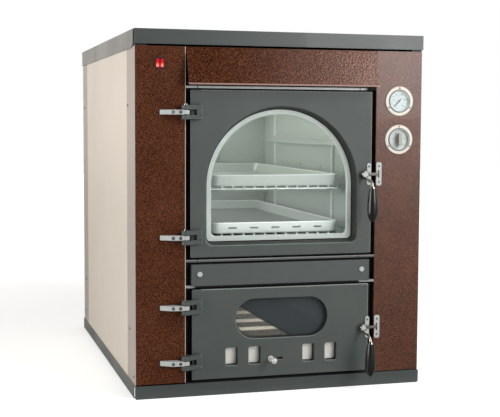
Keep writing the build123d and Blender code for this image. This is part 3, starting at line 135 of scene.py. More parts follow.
class OvenFinishSettings(PropertyGroup):
    """Colours of the paints, metals and plastics."""

    hammertone_low: colour_choice("Hammertone hollows", "Dark brown between the flecks", paint(42, 19, 11))
    hammertone_high: colour_choice("Hammertone flecks", "Copper brown of the flecks", paint(112, 66, 44))
    grey_paint: colour_choice("Lid and base paint", "Dark grey-green satin paint", paint(66, 72, 70))
    cream_paint: colour_choice("Side panel paint", "Cream of the side panels", paint(210, 199, 185))
    post_paint: colour_choice("Post paint", "Grey-pink of the corner posts", paint(165, 154, 145))
    door_iron: colour_choice("Door iron", "Dark grey of the painted castings", paint(80, 86, 83))
    cover_paint: colour_choice("Cover paint", "Dark grey of the cover between the doors", paint(76, 81, 80))
    ring: colour_choice("Window ring", "Greenish white of the arched ring", paint(205, 214, 209))
    stainless: colour_choice("Stainless steel", "Chamber, trays and racks", paint(213, 219, 214))
    zinc_plate: colour_choice("Zinc plate", "Hinge arms, latch plates and keepers", paint(186, 190, 188))
    chrome: colour_choice("Chrome", "Latch levers and hinge pins", paint(190, 186, 180))
    zinc: colour_choice("Galvanised sheet", "Rear panel, bars and flue collar", paint(196, 198, 195))
    soot: colour_choice("Sooted steel", "Firebox and grate", paint(54, 51, 49))
    grip: colour_choice("Grip", "Nearly black grips of the latches", paint(24, 25, 23))
    gauge_metal: colour_choice("Gauge flange", "Pale metal of the gauge flanges", paint(214, 207, 197))
    dial: colour_choice("Dial face", "Bluish white of the dials", paint(197, 206, 205))
    switch_red: colour_choice("Switch keys", "Lit red keys", paint(196, 12, 12))
    rope: colour_choice("Rope gasket", "Glass-fibre rope in the doors", paint(196, 190, 174))
    brick: colour_choice("Fire brick", "Pale ceramic of the bricks", paint(196, 170, 128))


class OvenFittingSettings(PropertyGroup):
    """Sizes of the small fittings."""

    panel_screw: length_choice("Panel screw", "Radius of the screw heads on the panels", 4.0)
    gauge_screw: length_choice("Gauge screw", "Radius of the screw heads on the gauge flanges", 2.4)
    plate_screw: length_choice("Plate screw", "Radius of the screw heads on latch plates and keepers", 2.8)
    head_rise: length_choice("Head height", "Height of a screw head above its sheet", 1.6)
    rope_braid: length_choice("Braid pitch", "Length of one braid of the rope gasket", 6.0)
    tick_length: length_choice("Dial tick", "Length of a long tick on a dial", 3.6)
    numeral: length_choice("Dial numeral", "Height of the numbers on a dial", 4.4)


class OvenStageSettings(PropertyGroup):
    """Camera, lamps and floor."""

    camera_place: FloatVectorProperty(name="Camera place", description="Where the camera stands", size=3,
                                      default=(-0.8688, -3.2780, 0.7160), subtype="TRANSLATION",
                                      unit="LENGTH")
    camera_turn: FloatVectorProperty(name="Camera turn", description="Yaw, pitch and roll", size=3,
                                     default=[math.radians(angle) for angle in (-15.773, -4.510, -0.279)],
                                     subtype="EULER")
    focal_pixels: FloatProperty(name="Focal length in pixels", description="At an image 500 pixels wide",
                                default=1097.56, min=1.0)
    key_power: power_choice("Key lamp", "Large lamp at the right", 84.0)
    side_power: power_choice("Side lamp", "Lamp at the left", 56.0)
    top_power: power_choice("Top lamp", "Lamp above", 30.0)
    chamber_power: power_choice("Oven lamp", "Lamp in the chamber", 0.4)
    roof_power: power_choice("Roof light", "Even light under the chamber's roof", 0.94)
    rack_power: power_choice("Rack light", "Even light under the upper rack", 1.05)
    sill_power: power_choice("Sill light", "Light on the lower tray's front", 0.085)
    guard_power: power_choice("Guard light", "Light on the log guard's lower bars", 0.05)
    sky: FloatProperty(name="Sky", description="Strength of the even light", default=0.32, min=0.0)


def feed(tree, socket, value):
    """Link an output to an input, or set the input where the value is plain."""
    if isinstance(value, bpy.types.NodeSocket):
        tree.links.new(value, socket)
    else:
        socket.default_value = value


def new_node(tree, kind, inputs=None, **settings):
    """Shader node with its settings, and its inputs fed by name or number."""
    made = tree.nodes.new("ShaderNode" + kind)
    for name, value in settings.items():
        setattr(made, name, value)
    for socket, value in (inputs or {}).items():
        feed(tree, made.inputs[socket], value)
    return made


class Finish:
    """Material with one Principled shader, whose textures follow the object's own coordinates."""

    def __init__(self, name, roughness=0.5, metallic=0.0, coat=0.0):
        self.material = bpy.data.materials.new(name)
        self.material.use_nodes = True
        self.tree = self.material.node_tree
        self.shader = self.tree.nodes["Principled BSDF"]
        self.drive("Roughness", roughness)
        self.drive("Metallic", metallic)
        self.drive("Coat Weight", coat)
        self.place = self.node("TexCoord").outputs["Object"]
        self.normal = None

    def node(self, kind, inputs=None, **settings):
        """New node in this material."""
        return new_node(self.tree, kind, inputs, **settings)

    def drive(self, socket, value):
        """Set or link one input of the shader."""
        feed(self.tree, self.shader.inputs[socket], value)

    def surface(self, shader):
        """Show this shader's output in place of the plain one."""
        self.tree.links.new(shader, self.tree.nodes["Material Output"].inputs["Surface"])

    def noise(self, scale, detail=2.0, stretch=None, roughness=0.5):
        """Cloudy noise with this many waves in a metre, drawn out along an axis whose stretch is small."""
        place = self.place
        if stretch:
            place = self.node("Mapping", {"Vector": place, "Scale": stretch}).outputs["Vector"]
        texture = self.node("TexNoise", {"Vector": place, "Scale": scale, "Detail": detail,
                                         "Roughness": roughness})
        return texture.outputs["Fac"]

    def brush_lines(self, stretch, waves=1900.0, detail=2.0):
        """Fine lines of a brushed sheet."""
        return self.noise(waves, detail=detail, stretch=stretch)

    def cells(self, scale, warp):
        """Distance from the middle of round cells, pushed about by noise."""
        shift = self.node("TexNoise", {"Vector": self.place, "Scale": scale}).outputs["Color"]
        pushed = self.node("VectorMath", {0: shift, 1: (warp, warp, warp), 2: self.place},
                           operation="MULTIPLY_ADD").outputs["Vector"]
        texture = self.node("TexVoronoi", {"Vector": pushed, "Scale": scale}, feature="SMOOTH_F1")
        return texture.outputs["Distance"]

    def spread(self, value, low, high, to_low=0.0, to_high=1.0):
        """The value's stretch from low to high laid out over another one."""
        spans = {"Value": value, "From Min": low, "From Max": high, "To Min": to_low, "To Max": to_high}
        return self.node("MapRange", spans).outputs["Result"]

    def share_of(self, mask, most, least=0.0):
        """A mask from 0 to 1 laid out between two shares."""
        return self.spread(mask, 0.0, 1.0, least, most)

    def both(self, first, second, operation="MULTIPLY"):
        """Two values put together, as a rule by multiplying them."""
        return self.node("Math", {0: first, 1: second}, operation=operation).outputs["Value"]

    def sum_of(self, first, second, share):
        """First value plus a share of the second."""
        return self.node("Math", {0: second, 1: share, 2: first}, operation="MULTIPLY_ADD").outputs["Value"]

    def off(self, value, middle):
        """Distance of a value from its middle, either way."""
        return self.both(self.both(value, middle, "SUBTRACT"), 0.0, "ABSOLUTE")

    def axis(self, name):
        """One coordinate of the object, in metres."""
        return self.node("SeparateXYZ", {"Vector": self.place}).outputs[name]

    def mixed(self, share, low, high):
        """Colour between two colours or outputs."""
        return self.node("Mix", {"Factor": share, 6: low, 7: high}, data_type="RGBA").outputs[2]

    def toned(self, texture, low, high):
        """Colour that goes with a noise from one colour to another."""
        return self.mixed(self.spread(texture, *NOISE_SPAN), low, high)

    def darker(self, body, factor):
        """A linked colour made darker by a factor."""
        return self.mixed(1.0 - factor, body, (0.0, 0.0, 0.0, 1.0))

    def hollows(self, reach):
        """Low in narrow gaps and corners, high on open faces."""
        shelter = self.node("AmbientOcclusion", {"Distance": reach}, samples=6)
        return self.spread(shelter.outputs["AO"], 0.25, 0.85)

    def bevelled(self, radius):
        """Direction of the surface as if its sharp edges were rounded."""
        return self.node("Bevel", {"Radius": radius}, samples=4).outputs["Normal"]

    def worn(self, body, radius, share, colour):
        """Body colour with another one along its sharp edges, as strong as the share."""
        straight = self.node("NewGeometry").outputs["Normal"]
        match = self.node("VectorMath", {0: self.bevelled(radius), 1: straight}, operation="DOT_PRODUCT")
        edge = self.spread(match.outputs["Value"], 1.0, 0.86)
        return self.mixed(self.share_of(edge, share), body, colour)

    def upper_right(self, radius):
        """High on rounded edges that turn up or to the right."""
        parts = self.node("SeparateXYZ", {"Vector": self.bevelled(radius)}).outputs
        front = self.spread(parts["Y"], -0.35, -0.7)
        return self.both(front, self.spread(self.sum_of(parts["Z"], parts["X"], 0.7), 0.12, 0.5))

    def colour(self, value):
        """Base colour of the shader."""
        self.drive("Base Color", value)

    def rough(self, texture, low, high):
        """Roughness that follows a texture between two values."""
        self.drive("Roughness", self.spread(texture, *NOISE_SPAN, low, high))

    def rounded(self, radius):
        """Soften sharp edges as seen in the light."""
        self.normal = self.bevelled(radius)

    def bump(self, height, distance):
        """Relief that follows a texture, on top of what the surface already is."""
        inputs = {"Distance": distance, "Height": height}
        if self.normal is not None:
            inputs["Normal"] = self.normal
        self.normal = self.node("Bump", inputs).outputs["Normal"]

    def done(self):
        """Join the relief to the shader and hand the material over."""
        if self.normal is not None:
            self.drive("Normal", self.normal)
        return self.material


def shade(value, factor):
    """The same colour made darker or lighter by a factor."""
    return (*(min(1.0, channel * factor) for channel in value[:3]), 1.0)


def hammertone_finish(name, low, high, cells_in_metre, relief, gloss, shine=(0.2, 0.34), highlight_edge=None,
                      sheen_span=None):
    """Hammered paint: warped cells with copper flecks in a dark brown ground, worn bare along its folds.

    Between two places across, its gloss grows from none to full and its colour from painted shade to painted
    sheen.
    """
    fold = 0.0014
    foot_shadow_line = 0.0376
    glaze = 0.2 * gloss
    finish = Finish(name, roughness=0.3, metallic=glaze, coat=glaze)
    finish.drive("Specular IOR Level", gloss)
    cells = finish.cells(cells_in_metre, warp=0.35 / cells_in_metre)
    grain = finish.noise(cells_in_metre * 2.6, detail=3.0)
    fleck = finish.sum_of(finish.spread(cells, 0.12, 0.62), finish.spread(grain, 0.45, 0.75), 0.55)
    cloud = finish.noise(14.0, detail=3.0)
    ground = finish.toned(cloud, shade(low, 0.85), shade(low, 1.25))
    flecks = finish.toned(cloud, shade(high, 0.9), shade(high, 1.12))
    body = finish.mixed(finish.spread(fleck, 0.3, 1.2), ground, flecks)
    body = finish.worn(body, fold, 0.55, BARE_FOLD)
    # Painted highlight: a pale line just inside one fold, where the fold catches the light
    if highlight_edge is not None:
        line = finish.spread(finish.axis("X"), highlight_edge - 0.0017, highlight_edge - 0.0013)
        body = finish.mixed(line, body, paint(196, 184, 174))
    # Painted shade and sheen: the colour is darkened, then lightened towards copper across the span as light
    # falls; the gloss grows the same way
    if sheen_span is not None:
        across = finish.spread(finish.axis("X"), *sheen_span)
        sheen_share = finish.both(across, across)
        body = finish.mixed(finish.both(sheen_share, 0.22), finish.darker(body, 0.8), shade(high, 2.2))
        finish.drive("Specular IOR Level", finish.both(sheen_share, gloss))
        finish.drive("Coat Weight", finish.both(sheen_share, glaze))
        finish.drive("Metallic", finish.both(sheen_share, glaze))
    # Painted shadow, near black, along the foot where the stile meets the base
    foot = finish.spread(finish.axis("Z"), foot_shadow_line, foot_shadow_line - 0.0008)
    finish.colour(finish.mixed(foot, body, paint(14, 9, 8)))
    finish.rough(grain, *shine)
    finish.rounded(fold)
    finish.bump(finish.sum_of(cells, grain, 0.35), relief)
    return finish.done()


def sheet_paint_finish(name, colour, roughness, orange_peel=0.00004, wear=0.2, smudge=0.10, coat=0.0):
    """Satin paint on sheet steel: faint orange peel, cloudy gloss and paler folds."""
    finish = Finish(name, roughness=roughness, coat=coat)
    cloud = finish.noise(6.0, detail=4.0)
    speckle = finish.noise(900.0)
    body = finish.toned(cloud, shade(colour, 1.0 - smudge / 2), shade(colour, 1.0 + smudge / 2))
    body = finish.mixed(finish.spread(speckle, 0.35, 0.65), shade(colour, 1.0 - smudge), body)
    finish.colour(finish.worn(body, 0.0012, wear, shade(colour, 1.0 + 3.0 * wear)))
    finish.rough(cloud, roughness - 0.05, roughness + 0.07)
    finish.rounded(PAINTED_FOLD)
    finish.bump(finish.noise(420.0), orange_peel)
    return finish.done()


def post_finish(name, colour, lid_shadow_edge):
    """Corner post paint, with a painted shadow, near black, where the post goes up under the lid."""
    finish = Finish(name, roughness=0.42)
    cloud = finish.noise(6.0, detail=4.0)
    speckle = finish.noise(900.0)
    body = finish.toned(cloud, shade(colour, 0.95), shade(colour, 1.04))
    body = finish.toned(speckle, shade(colour, 0.93), body)
    # Painted shadow, near black, under the lid's front edge
    lid_shadow_mask = finish.spread(finish.axis("Z"), lid_shadow_edge, lid_shadow_edge + 0.001)
    finish.colour(finish.mixed(lid_shadow_mask, body, paint(12, 11, 10)))
    finish.rough(cloud, 0.38, 0.5)
    finish.rounded(PAINTED_FOLD)
    finish.bump(speckle, 0.00002)
    return finish.done()


def casting_finish(name, colour, face_depth, ear_side, well_shade):
    """Painted cast iron: sand grain, shallow pits, slightly polished edges, painted shade in wells and slots.
    """
    finish = Finish(name, roughness=0.5, metallic=0.1)
    grain = finish.noise(1100.0, detail=4.0, roughness=0.65)
    pits = finish.cells(380.0, warp=0.001)
    cloud = finish.noise(9.0, detail=4.0)
    side = finish.axis("X")
    beyond_ears = ear_side + 0.002
    body = finish.toned(cloud, shade(colour, 0.86), shade(colour, 1.10))
    body = finish.mixed(finish.spread(grain, 0.35, 0.7), shade(colour, 0.78), body)
    # Painted shade on the sunk walls of the window wells and air holes
    sunk = finish.spread(finish.axis("Y"), face_depth + 0.0015, face_depth + 0.006, 0.0, 0.8)
    body = finish.mixed(sunk, body, well_shade)
    # Painted shadow, black and without gloss, in the slots beside the hinge ears
    slot_shadow = finish.both(sunk, finish.spread(side, beyond_ears, ear_side))
    body = finish.mixed(slot_shadow, body, paint(5, 5, 5))
    # Painted shade, near black, in narrow gaps and corners
    body = finish.mixed(finish.hollows(0.012), shade(paint(20, 20, 18), 0.4), body)
    body = finish.worn(body, 0.0022, 0.4, shade(colour, 1.9))
    # Painted highlight on rounded edges that turn up or to the right, towards the light
    edge_highlight = finish.both(finish.upper_right(0.0032), finish.both(1.0, sunk, "SUBTRACT"))
    edge_highlight = finish.both(edge_highlight, finish.spread(side, ear_side, beyond_ears))
    finish.colour(finish.mixed(finish.share_of(edge_highlight, 0.85), body, shade(colour, 4.4)))
    finish.drive("Specular IOR Level", finish.spread(slot_shadow, 0.0, 0.8, 0.5, 0.0))
    finish.rough(grain, 0.42, 0.6)
    finish.rounded(0.002)
    finish.bump(finish.sum_of(grain, pits, 0.4), 0.00022)
    return finish.done()


def brushed_finish(name, colour, stretch, roughness, scratch=0.00002, metallic=1.0, tarnish=0.15,
                   shelter=0.0):
    """Bare steel with fine brush lines along one axis, faint cloudy tarnish and painted shade in its corners.
    """
    finish = Finish(name, roughness=roughness, metallic=metallic)
    lines = finish.brush_lines(stretch)
    cloud = finish.noise(5.0, detail=3.0)
    body = finish.toned(lines, shade(colour, 0.94), colour)
    body = finish.mixed(finish.spread(cloud, 0.45, 0.75, 0.0, tarnish), body, shade(colour, 0.62))
    # Painted shade, near black, in narrow gaps and corners
    if shelter > 0:
        body = finish.mixed(finish.hollows(shelter), shade(colour, 0.06), body)
    finish.colour(body)
    finish.rough(lines, roughness - 0.06, roughness + 0.1)
    finish.rounded(0.0004)
    finish.bump(lines, scratch)
    return finish.done()


def guide_finish(name, colour, upright_side):
    """Rack guides: stainless ledges, and a painted highlight on the uprights beyond this distance from the
    middle.
    """
    finish = Finish(name, roughness=0.35, metallic=0.2)
    lines = finish.brush_lines(ALONG_Y)
    # Painted highlight on the uprights, where the rear corner folds catch the light
    upright_highlight = finish.spread(finish.off(finish.axis("X"), 0.0), upright_side, upright_side + 0.0002)
    body = finish.toned(lines, shade(colour, 0.88), shade(colour, 0.95))
    finish.colour(finish.mixed(upright_highlight, body, shade(colour, 1.45)))
    finish.rough(lines, 0.3, 0.42)
    finish.bump(lines, FAINT_SCRATCH)
    through_lamp_rays(finish, shade(colour, 0.9))
    return finish.done()


def tray_finish(name, colour, low, high, floor_shade):
    """Tray steel brushed across: painted shade on the floor, painted highlight along the upper edge."""
    floor_top = low.z + 0.003
    rim_start = high.z - 0.0024
    finish = Finish(name, roughness=0.38, metallic=0.3)
    lines = finish.brush_lines((0.04, 1.0, 1.0))
    height = finish.axis("Z")
    body = finish.toned(lines, shade(colour, 0.95), colour)
    # Painted shade on the tray's floor
    body = finish.mixed(finish.spread(height, floor_top, floor_top - 0.001), body, shade(colour, floor_shade))
    # Painted highlight along the tray's upper edge
    rim = finish.spread(height, rim_start, rim_start + 0.0006)
    finish.colour(finish.mixed(rim, body, shade(colour, 1.5)))
    finish.rough(lines, 0.32, 0.48)
    finish.rounded(0.0002)
    finish.bump(lines, FAINT_SCRATCH / 2)
    return finish.done()


def guard_finish(name, colour, low, post):
    """Bright log guard: painted shade along a fine groove on each bar, and a dark post in the middle."""
    bar_pitch = 0.0225
    bar_middle = 0.0045
    groove_half = 0.0012
    post_half = 0.0062
    finish = Finish(name, roughness=0.4, metallic=0.15)
    lines = finish.brush_lines((0.05, 1.0, 1.0), waves=1500.0)
    body = finish.toned(lines, shade(colour, 0.85), colour)
    in_bar = finish.both(finish.both(finish.axis("Z"), low.z, "SUBTRACT"), bar_pitch, "MODULO")
    # Painted shade along a fine groove on each bar
    groove_shade = finish.spread(finish.off(in_bar, bar_middle), groove_half, groove_half / 2)
    body = finish.mixed(groove_shade, body, shade(colour, 0.5))
    on_post = finish.spread(finish.off(finish.axis("X"), post), post_half, post_half - 0.0006)
    finish.colour(finish.mixed(on_post, body, paint(24, 22, 20)))
    finish.rough(lines, 0.34, 0.5)
    finish.bump(lines, 0.00002)
    return finish.done()


def spangled_finish(name, colour):
    """Galvanised sheet with its crystal spangle."""
    finish = Finish(name, roughness=0.36, metallic=0.9)
    spangle = finish.node("TexVoronoi", {"Vector": finish.place, "Scale": 90.0})
    tone = finish.node("SeparateColor", {"Color": spangle.outputs["Color"]}).outputs
    finish.colour(finish.mixed(tone["Red"], shade(colour, 0.82), colour))
    finish.rough(tone["Green"], 0.28, 0.44)
    finish.rounded(0.0005)
    finish.bump(finish.noise(300.0), 0.00002)
    return finish.done()


def front_frame_finish(name, zinc, shadow_colour, bar_depth):
    """Front frame: zinc where light falls on the bars, near-black painted shadow on their shaded parts and
    behind them.
    """
    top_bar_foot = 0.79
    top_bar_end = 0.238
    middle_bar_foot = 0.350
    middle_bar_edge = 0.3560
    middle_bar_reach = 0.5
    low_bar_reach = 0.34
    low_bar_left_end = -0.236
    low_bar_right_end = 0.215
    seam_middle = -0.0075
    seam_distance = 0.2225
    finish = Finish(name, roughness=0.4)
    height = finish.axis("Z")
    aside = finish.axis("X")
    ahead = finish.spread(finish.axis("Y"), bar_depth + 0.002, bar_depth)
    # Where the zinc shows lit: the bar over the oven door, fading into painted shade at its right end, a lit
    # line along the dim middle bar's top, and the low bars' ends; dark seams part the bars
    top_bar = finish.both(finish.spread(height, top_bar_foot, top_bar_foot + 0.01),
                          finish.spread(aside, top_bar_end, top_bar_end - 0.01))
    middle_line = finish.both(finish.spread(height, middle_bar_edge, middle_bar_edge + 0.0006), 0.55)
    middle_body = finish.both(finish.spread(height, middle_bar_foot, middle_bar_foot + 0.001), 0.16)
    middle_bar = finish.both(finish.both(middle_line, middle_body, "MAXIMUM"),
                             finish.spread(height, middle_bar_reach, middle_bar_reach - 0.1))
    from_seams = finish.off(finish.off(aside, seam_middle), seam_distance)
    seam = finish.spread(from_seams, 0.0012, 0.0008)
    ends = finish.both(finish.spread(aside, low_bar_left_end, low_bar_left_end - 0.006),
                       finish.spread(aside, low_bar_right_end, low_bar_right_end + 0.007), "MAXIMUM")
    low_bar = finish.both(finish.both(ends, finish.spread(height, low_bar_reach, low_bar_reach - 0.01)), 0.55)
    lit = finish.both(finish.both(top_bar, middle_bar, "MAXIMUM"), low_bar, "MAXIMUM")
    lit = finish.both(finish.both(lit, ahead), finish.both(1.0, seam, "SUBTRACT"))
    lines = finish.brush_lines((0.06, 1.0, 1.0), waves=600.0, detail=3.0)
    lit_zinc = finish.toned(lines, shade(zinc, 0.86), zinc)
    # Near-black painted shadow on the rest of the bars and on the plate behind them
    painted_shadow = finish.toned(lines, shade(shadow_colour, 0.6), shadow_colour)
    finish.colour(finish.mixed(lit, painted_shadow, lit_zinc))
    finish.drive("Metallic", finish.share_of(lit, 0.4))
    finish.drive("Roughness", finish.share_of(lit, 0.38, 0.85))
    finish.bump(lines, 0.00003)
    return finish.done()


def sooted_finish(name, colour, rust=0.35):
    """Firebox steel: matt soot with brown scale and pale ash dust."""
    finish = Finish(name, roughness=0.75, metallic=0.3)
    scale = finish.noise(55.0, detail=6.0)
    dust = finish.noise(18.0, detail=5.0)
    grain = finish.noise(500.0, detail=3.0)
    body = finish.mixed(finish.spread(scale, 0.45, 0.7, 0.0, rust), colour, paint(92, 60, 42))
    finish.colour(finish.mixed(finish.spread(dust, 0.5, 0.8, 0.0, 0.35), body, paint(150, 147, 140)))
    finish.rough(scale, 0.62, 0.85)
    finish.bump(finish.sum_of(scale, grain, 0.3), 0.0003)
    return finish.done()


def enamel_finish(name, colour):
    """Smooth glassy enamel with faint specks."""
    finish = Finish(name, roughness=0.22, coat=0.3)
    specks = finish.noise(700.0)
    cloud = finish.noise(12.0)
    body = finish.toned(cloud, shade(colour, 0.93), colour)
    finish.colour(finish.mixed(finish.spread(specks, 0.62, 0.72, 0.0, 0.4), body, shade(colour, 0.7)))
    finish.rough(cloud, 0.18, 0.3)
    finish.rounded(0.0008)
    finish.bump(specks, 0.00002)
    return finish.done()


def plastic_finish(name, colour, roughness):
    """Moulded plastic with a fine grain, faintly cloudy, with a clear skin where it is smooth."""
    finish = Finish(name, roughness=roughness, coat=0.2 if roughness < 0.35 else 0.0)
    cloud = finish.noise(90.0, detail=3.0)
    fine = finish.noise(1500.0)
    finish.colour(finish.toned(cloud, shade(colour, 0.88), shade(colour, 1.12)))
    finish.rough(fine, roughness - 0.05, roughness + 0.08)
    finish.rounded(0.0004)
    finish.bump(fine, 0.00003)
    return finish.done()


def lit_key_finish(name, colour, middle, low, high):
    """Red translucent keys, brightest where the lamp sits low behind them and dark along their joint."""
    finish = Finish(name, roughness=0.25, coat=0.3)
    rise = high.z - low.z
    height = finish.axis("Z")
    lit = finish.both(finish.spread(height, low.z + 0.55 * rise, low.z + 0.3 * rise),
                      finish.spread(height, low.z, low.z + 0.1 * rise))
    seam = finish.spread(finish.off(finish.axis("X"), middle.x), 0.0012, 0.0030)
    grain = finish.noise(900.0)
    body = finish.toned(grain, shade(colour, 0.9), colour)
    finish.colour(finish.mixed(seam, shade(colour, 0.25), body))
    glow = finish.mixed(finish.both(lit, seam), colour, paint(255, 150, 140))
    finish.drive("Emission Color", finish.mixed(seam, shade(colour, 0.1), glow))
    finish.drive("Emission Strength", finish.share_of(lit, 0.9, 0.35))
    finish.rounded(0.0006)
    finish.bump(grain, 0.00002)
    return finish.done()


def rope_finish(name, colour):
    """Glass-fibre rope: pale fibres, grey in the hollows of the braid."""
    finish = Finish(name, roughness=0.85)
    fibres = finish.noise(1600.0, detail=3.0, roughness=0.7)
    stains = finish.noise(25.0, detail=4.0)
    body = finish.toned(fibres, shade(colour, 0.55), colour)
    finish.colour(finish.mixed(finish.spread(stains, 0.5, 0.75, 0.0, 0.45), body, shade(colour, 0.35)))
    finish.bump(fibres, 0.0005)
    return finish.done()


def wool_finish(name):
    """Mineral wool: yellow-green fibres."""
    finish = Finish(name, roughness=0.95)
    fibres = finish.noise(420.0, detail=6.0, stretch=(1.0, 1.0, 0.35), roughness=0.7)
    finish.colour(finish.toned(fibres, paint(120, 112, 62), paint(196, 186, 128)))
    finish.bump(fibres, 0.002)
    return finish.done()


def brick_finish(name, colour):
    """Fire brick: open pores and soot marks."""
    finish = Finish(name, roughness=0.9)
    pores = finish.cells(260.0, warp=0.002)
    soot = finish.noise(12.0, detail=5.0)
    body = finish.mixed(finish.spread(pores, 0.05, 0.3), shade(colour, 0.5), colour)
    finish.colour(finish.mixed(finish.spread(soot, 0.42, 0.7, 0.0, 0.8), body, paint(60, 54, 50)))
    finish.bump(pores, 0.0008)
    return finish.done()


def clear_glass_finish(name, tint, roughness=0.03):
    """Flat glass pane that lets the lamps shine through."""
    finish = Finish(name, roughness=roughness)
    haze = finish.noise(7.0, detail=4.0)
    finish.colour(finish.toned(haze, shade(tint, 0.96), tint))
    finish.drive("Transmission Weight", 1.0)
    finish.drive("IOR", 1.2)
    finish.rough(haze, roughness, roughness + 0.03)
    through_lamp_rays(finish, tint)
    return finish.done()


def stained_glass_finish(name, tint, shadow_film, low_corner, high_corner):
    """Firebox pane with a painted shadow: nearly clear in the corner where light falls in, a dark film
    elsewhere.
    """
    finish = Finish(name, roughness=0.06)
    wobble = finish.noise(14.0, detail=5.0)
    across = finish.spread(finish.axis("X"), low_corner.x, high_corner.x)
    up = finish.spread(finish.axis("Z"), low_corner.z, high_corner.z)
    slope = finish.sum_of(finish.sum_of(across, up, 0.69), wobble, 0.03)
    shadow_start = 0.60
    # Dark film as painted shadow over the firebox, clear in the lower left corner where light falls in
    finish.colour(finish.mixed(finish.spread(slope, shadow_start, shadow_start + 0.035), tint, shadow_film))
    shadow_veil_edge = finish.spread(slope, shadow_start + 0.015, shadow_start + 0.065, 0.0, 0.85)
    shadow_veil = finish.both(shadow_veil_edge, finish.spread(slope, shadow_start, 2 * shadow_start), "MAXIMUM")
    finish.drive("Transmission Weight", finish.share_of(shadow_veil, 0.1, 0.9))
    finish.drive("IOR", 1.3)
    finish.rough(wobble, 0.02, 0.06)
    through_lamp_rays(finish, shade(tint, 1.2))
    return finish.done()


def dial_finish(name, colour, first_middle, second_middle):
    """Pale dial faces inside dark bezels, told apart by the distance from each dial's middle."""
    face_radius = 0.0276
    finish = Finish(name, roughness=0.4)
    grain = finish.noise(240.0, detail=3.0)
    flat = finish.node("VectorMath", {0: finish.place, 1: (1.0, 0.0, 1.0)}, operation="MULTIPLY")
    away = []
    for middle in (first_middle, second_middle):
        ends = {0: flat.outputs["Vector"], 1: (middle.x, 0.0, middle.z)}
        away.append(finish.node("VectorMath", ends, operation="DISTANCE").outputs["Value"])
    nearest = finish.both(*away, "MINIMUM")
    rim = finish.spread(nearest, face_radius, face_radius + 0.0006)
    face = finish.toned(grain, shade(colour, 0.92), colour)
    finish.colour(finish.mixed(rim, face, paint(88, 90, 86)))
    finish.drive("Metallic", finish.share_of(rim, 0.5))
    return finish.done()


def through_lamp_rays(finish, tint):
    """Let the lamps' rays pass straight through a pane."""
    through = finish.node("BsdfTransparent", {"Color": tint})
    path = finish.node("LightPath").outputs
    either = finish.both(path["Is Shadow Ray"], path["Is Diffuse Ray"], "MAXIMUM")
    mix = finish.node("MixShader", {0: either, 1: finish.shader.outputs["BSDF"], 2: through.outputs["BSDF"]})
    finish.surface(mix.outputs["Shader"])


def dress(material, *nodes):
    """Give carried-over nodes their material."""
    for name in nodes:
        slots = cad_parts[name].data.materials
        slots.clear()
        slots.append(material)


def zinc_plate(finishes):
    """Matt zinc plating of the hinge arms, plates, keepers and screws, with painted shade where pieces meet.
    """
    return bpy.data.materials.get("zinc_plate") or brushed_finish(
        "zinc_plate", finishes.zinc_plate, ALONG_Z, roughness=0.42, metallic=0.15, tarnish=0.25,
        shelter=0.007)


def chrome(finishes):
    """Polished chrome of the levers and pins, with painted shade, near black, where pieces meet."""
    return bpy.data.materials.get("chrome") or brushed_finish(
        "chrome", finishes.chrome, ALONG_Z, roughness=0.16, tarnish=0.2, shelter=0.009)


def piece(name, shape, body, material, smooth=True):
    """Object from a bmesh, riding on a body."""
    mesh = bpy.data.meshes.new(name)
    bmesh.ops.recalc_face_normals(shape, faces=shape.faces)
    shape.to_mesh(mesh)
    shape.free()
    mesh.materials.append(material)
    for face in mesh.polygons:
        face.use_smooth = smooth
    made = bpy.data.objects.new(name, mesh)
    bpy.context.scene.collection.objects.link(made)
    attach(made, body)
    return made


def ring_of(shape, place, radius, segments):
    """One ring of vertices round the place's own Z axis, on its XY plane."""
    ring = []
    for step in range(segments):
        angle = 2 * math.pi * step / segments
        point = Vector((radius * math.cos(angle), radius * math.sin(angle), 0.0))
        ring.append(shape.verts.new(place @ point))
    return ring


def bridge(shape, first, second):
    """Faces between two closed rings of as many vertices."""
    count = len(first)
    for step in range(count):
        following = (step + 1) % count
        shape.faces.new((first[step], first[following], second[following], second[step]))


def screw_head(shape, place, radius, rise):
    """Domed screw head with a cross recess, seated on the place's own XY plane."""
    segments = 32
    ring_shares = (0.10, 0.2, 0.32, 0.44, 0.56, 0.72, 0.88, 1.0)
    arm_share = 0.12
    reach_share = 0.58
    recess_share = 0.6
    doming = 0.72
    rings = []
    for share in ring_shares:
        ring = ring_of(shape, place, radius * share, segments)
        for step, corner in enumerate(ring):
            angle = 2 * math.pi * step / segments
            across = min(abs(math.sin(angle)), abs(math.cos(angle))) * share
            height = rise * math.sqrt(1.0 - doming * share * share)
            if across < arm_share and share < reach_share:
                height -= recess_share * rise
            spot = Vector((radius * share * math.cos(angle), radius * share * math.sin(angle), height))
            corner.co = place @ spot
        rings.append(ring)
    rings.append(ring_of(shape, place, radius, segments))
    for first, second in zip(rings, rings[1:]):
        bridge(shape, first, second)
    shape.faces.new(rings[0])
    shape.faces.new(rings[-1])


def screw_set(name, places, turn, radius, rise, body, material):
    """Like screws on one face of the cabinet, each turned by chance."""
    dice = random.Random(name)
    shape = bmesh.new()
    for place in places:
        spin = Matrix.Rotation(dice.uniform(0.0, math.pi / 2), 4, "Z")
        screw_head(shape, Matrix.Translation(place) @ turn @ spin, radius, rise)
    return piece(name, shape, body, material)


def bar(shape, low, high, edge):
    """Straight bar between two corners, with its edges rounded by a radius."""
    made = bmesh.ops.create_cube(shape, size=1.0)["verts"]
    size = Vector(high) - Vector(low)
    middle = (Vector(high) + Vector(low)) / 2
    for corner in made:
        corner.co = Vector((corner.co.x * size.x, corner.co.y * size.y, corner.co.z * size.z)) + middle
    edges = list({line for corner in made for line in corner.link_edges})
    bmesh.ops.bevel(shape, geom=edges, offset=edge, segments=3, profile=0.5, affect="EDGES")


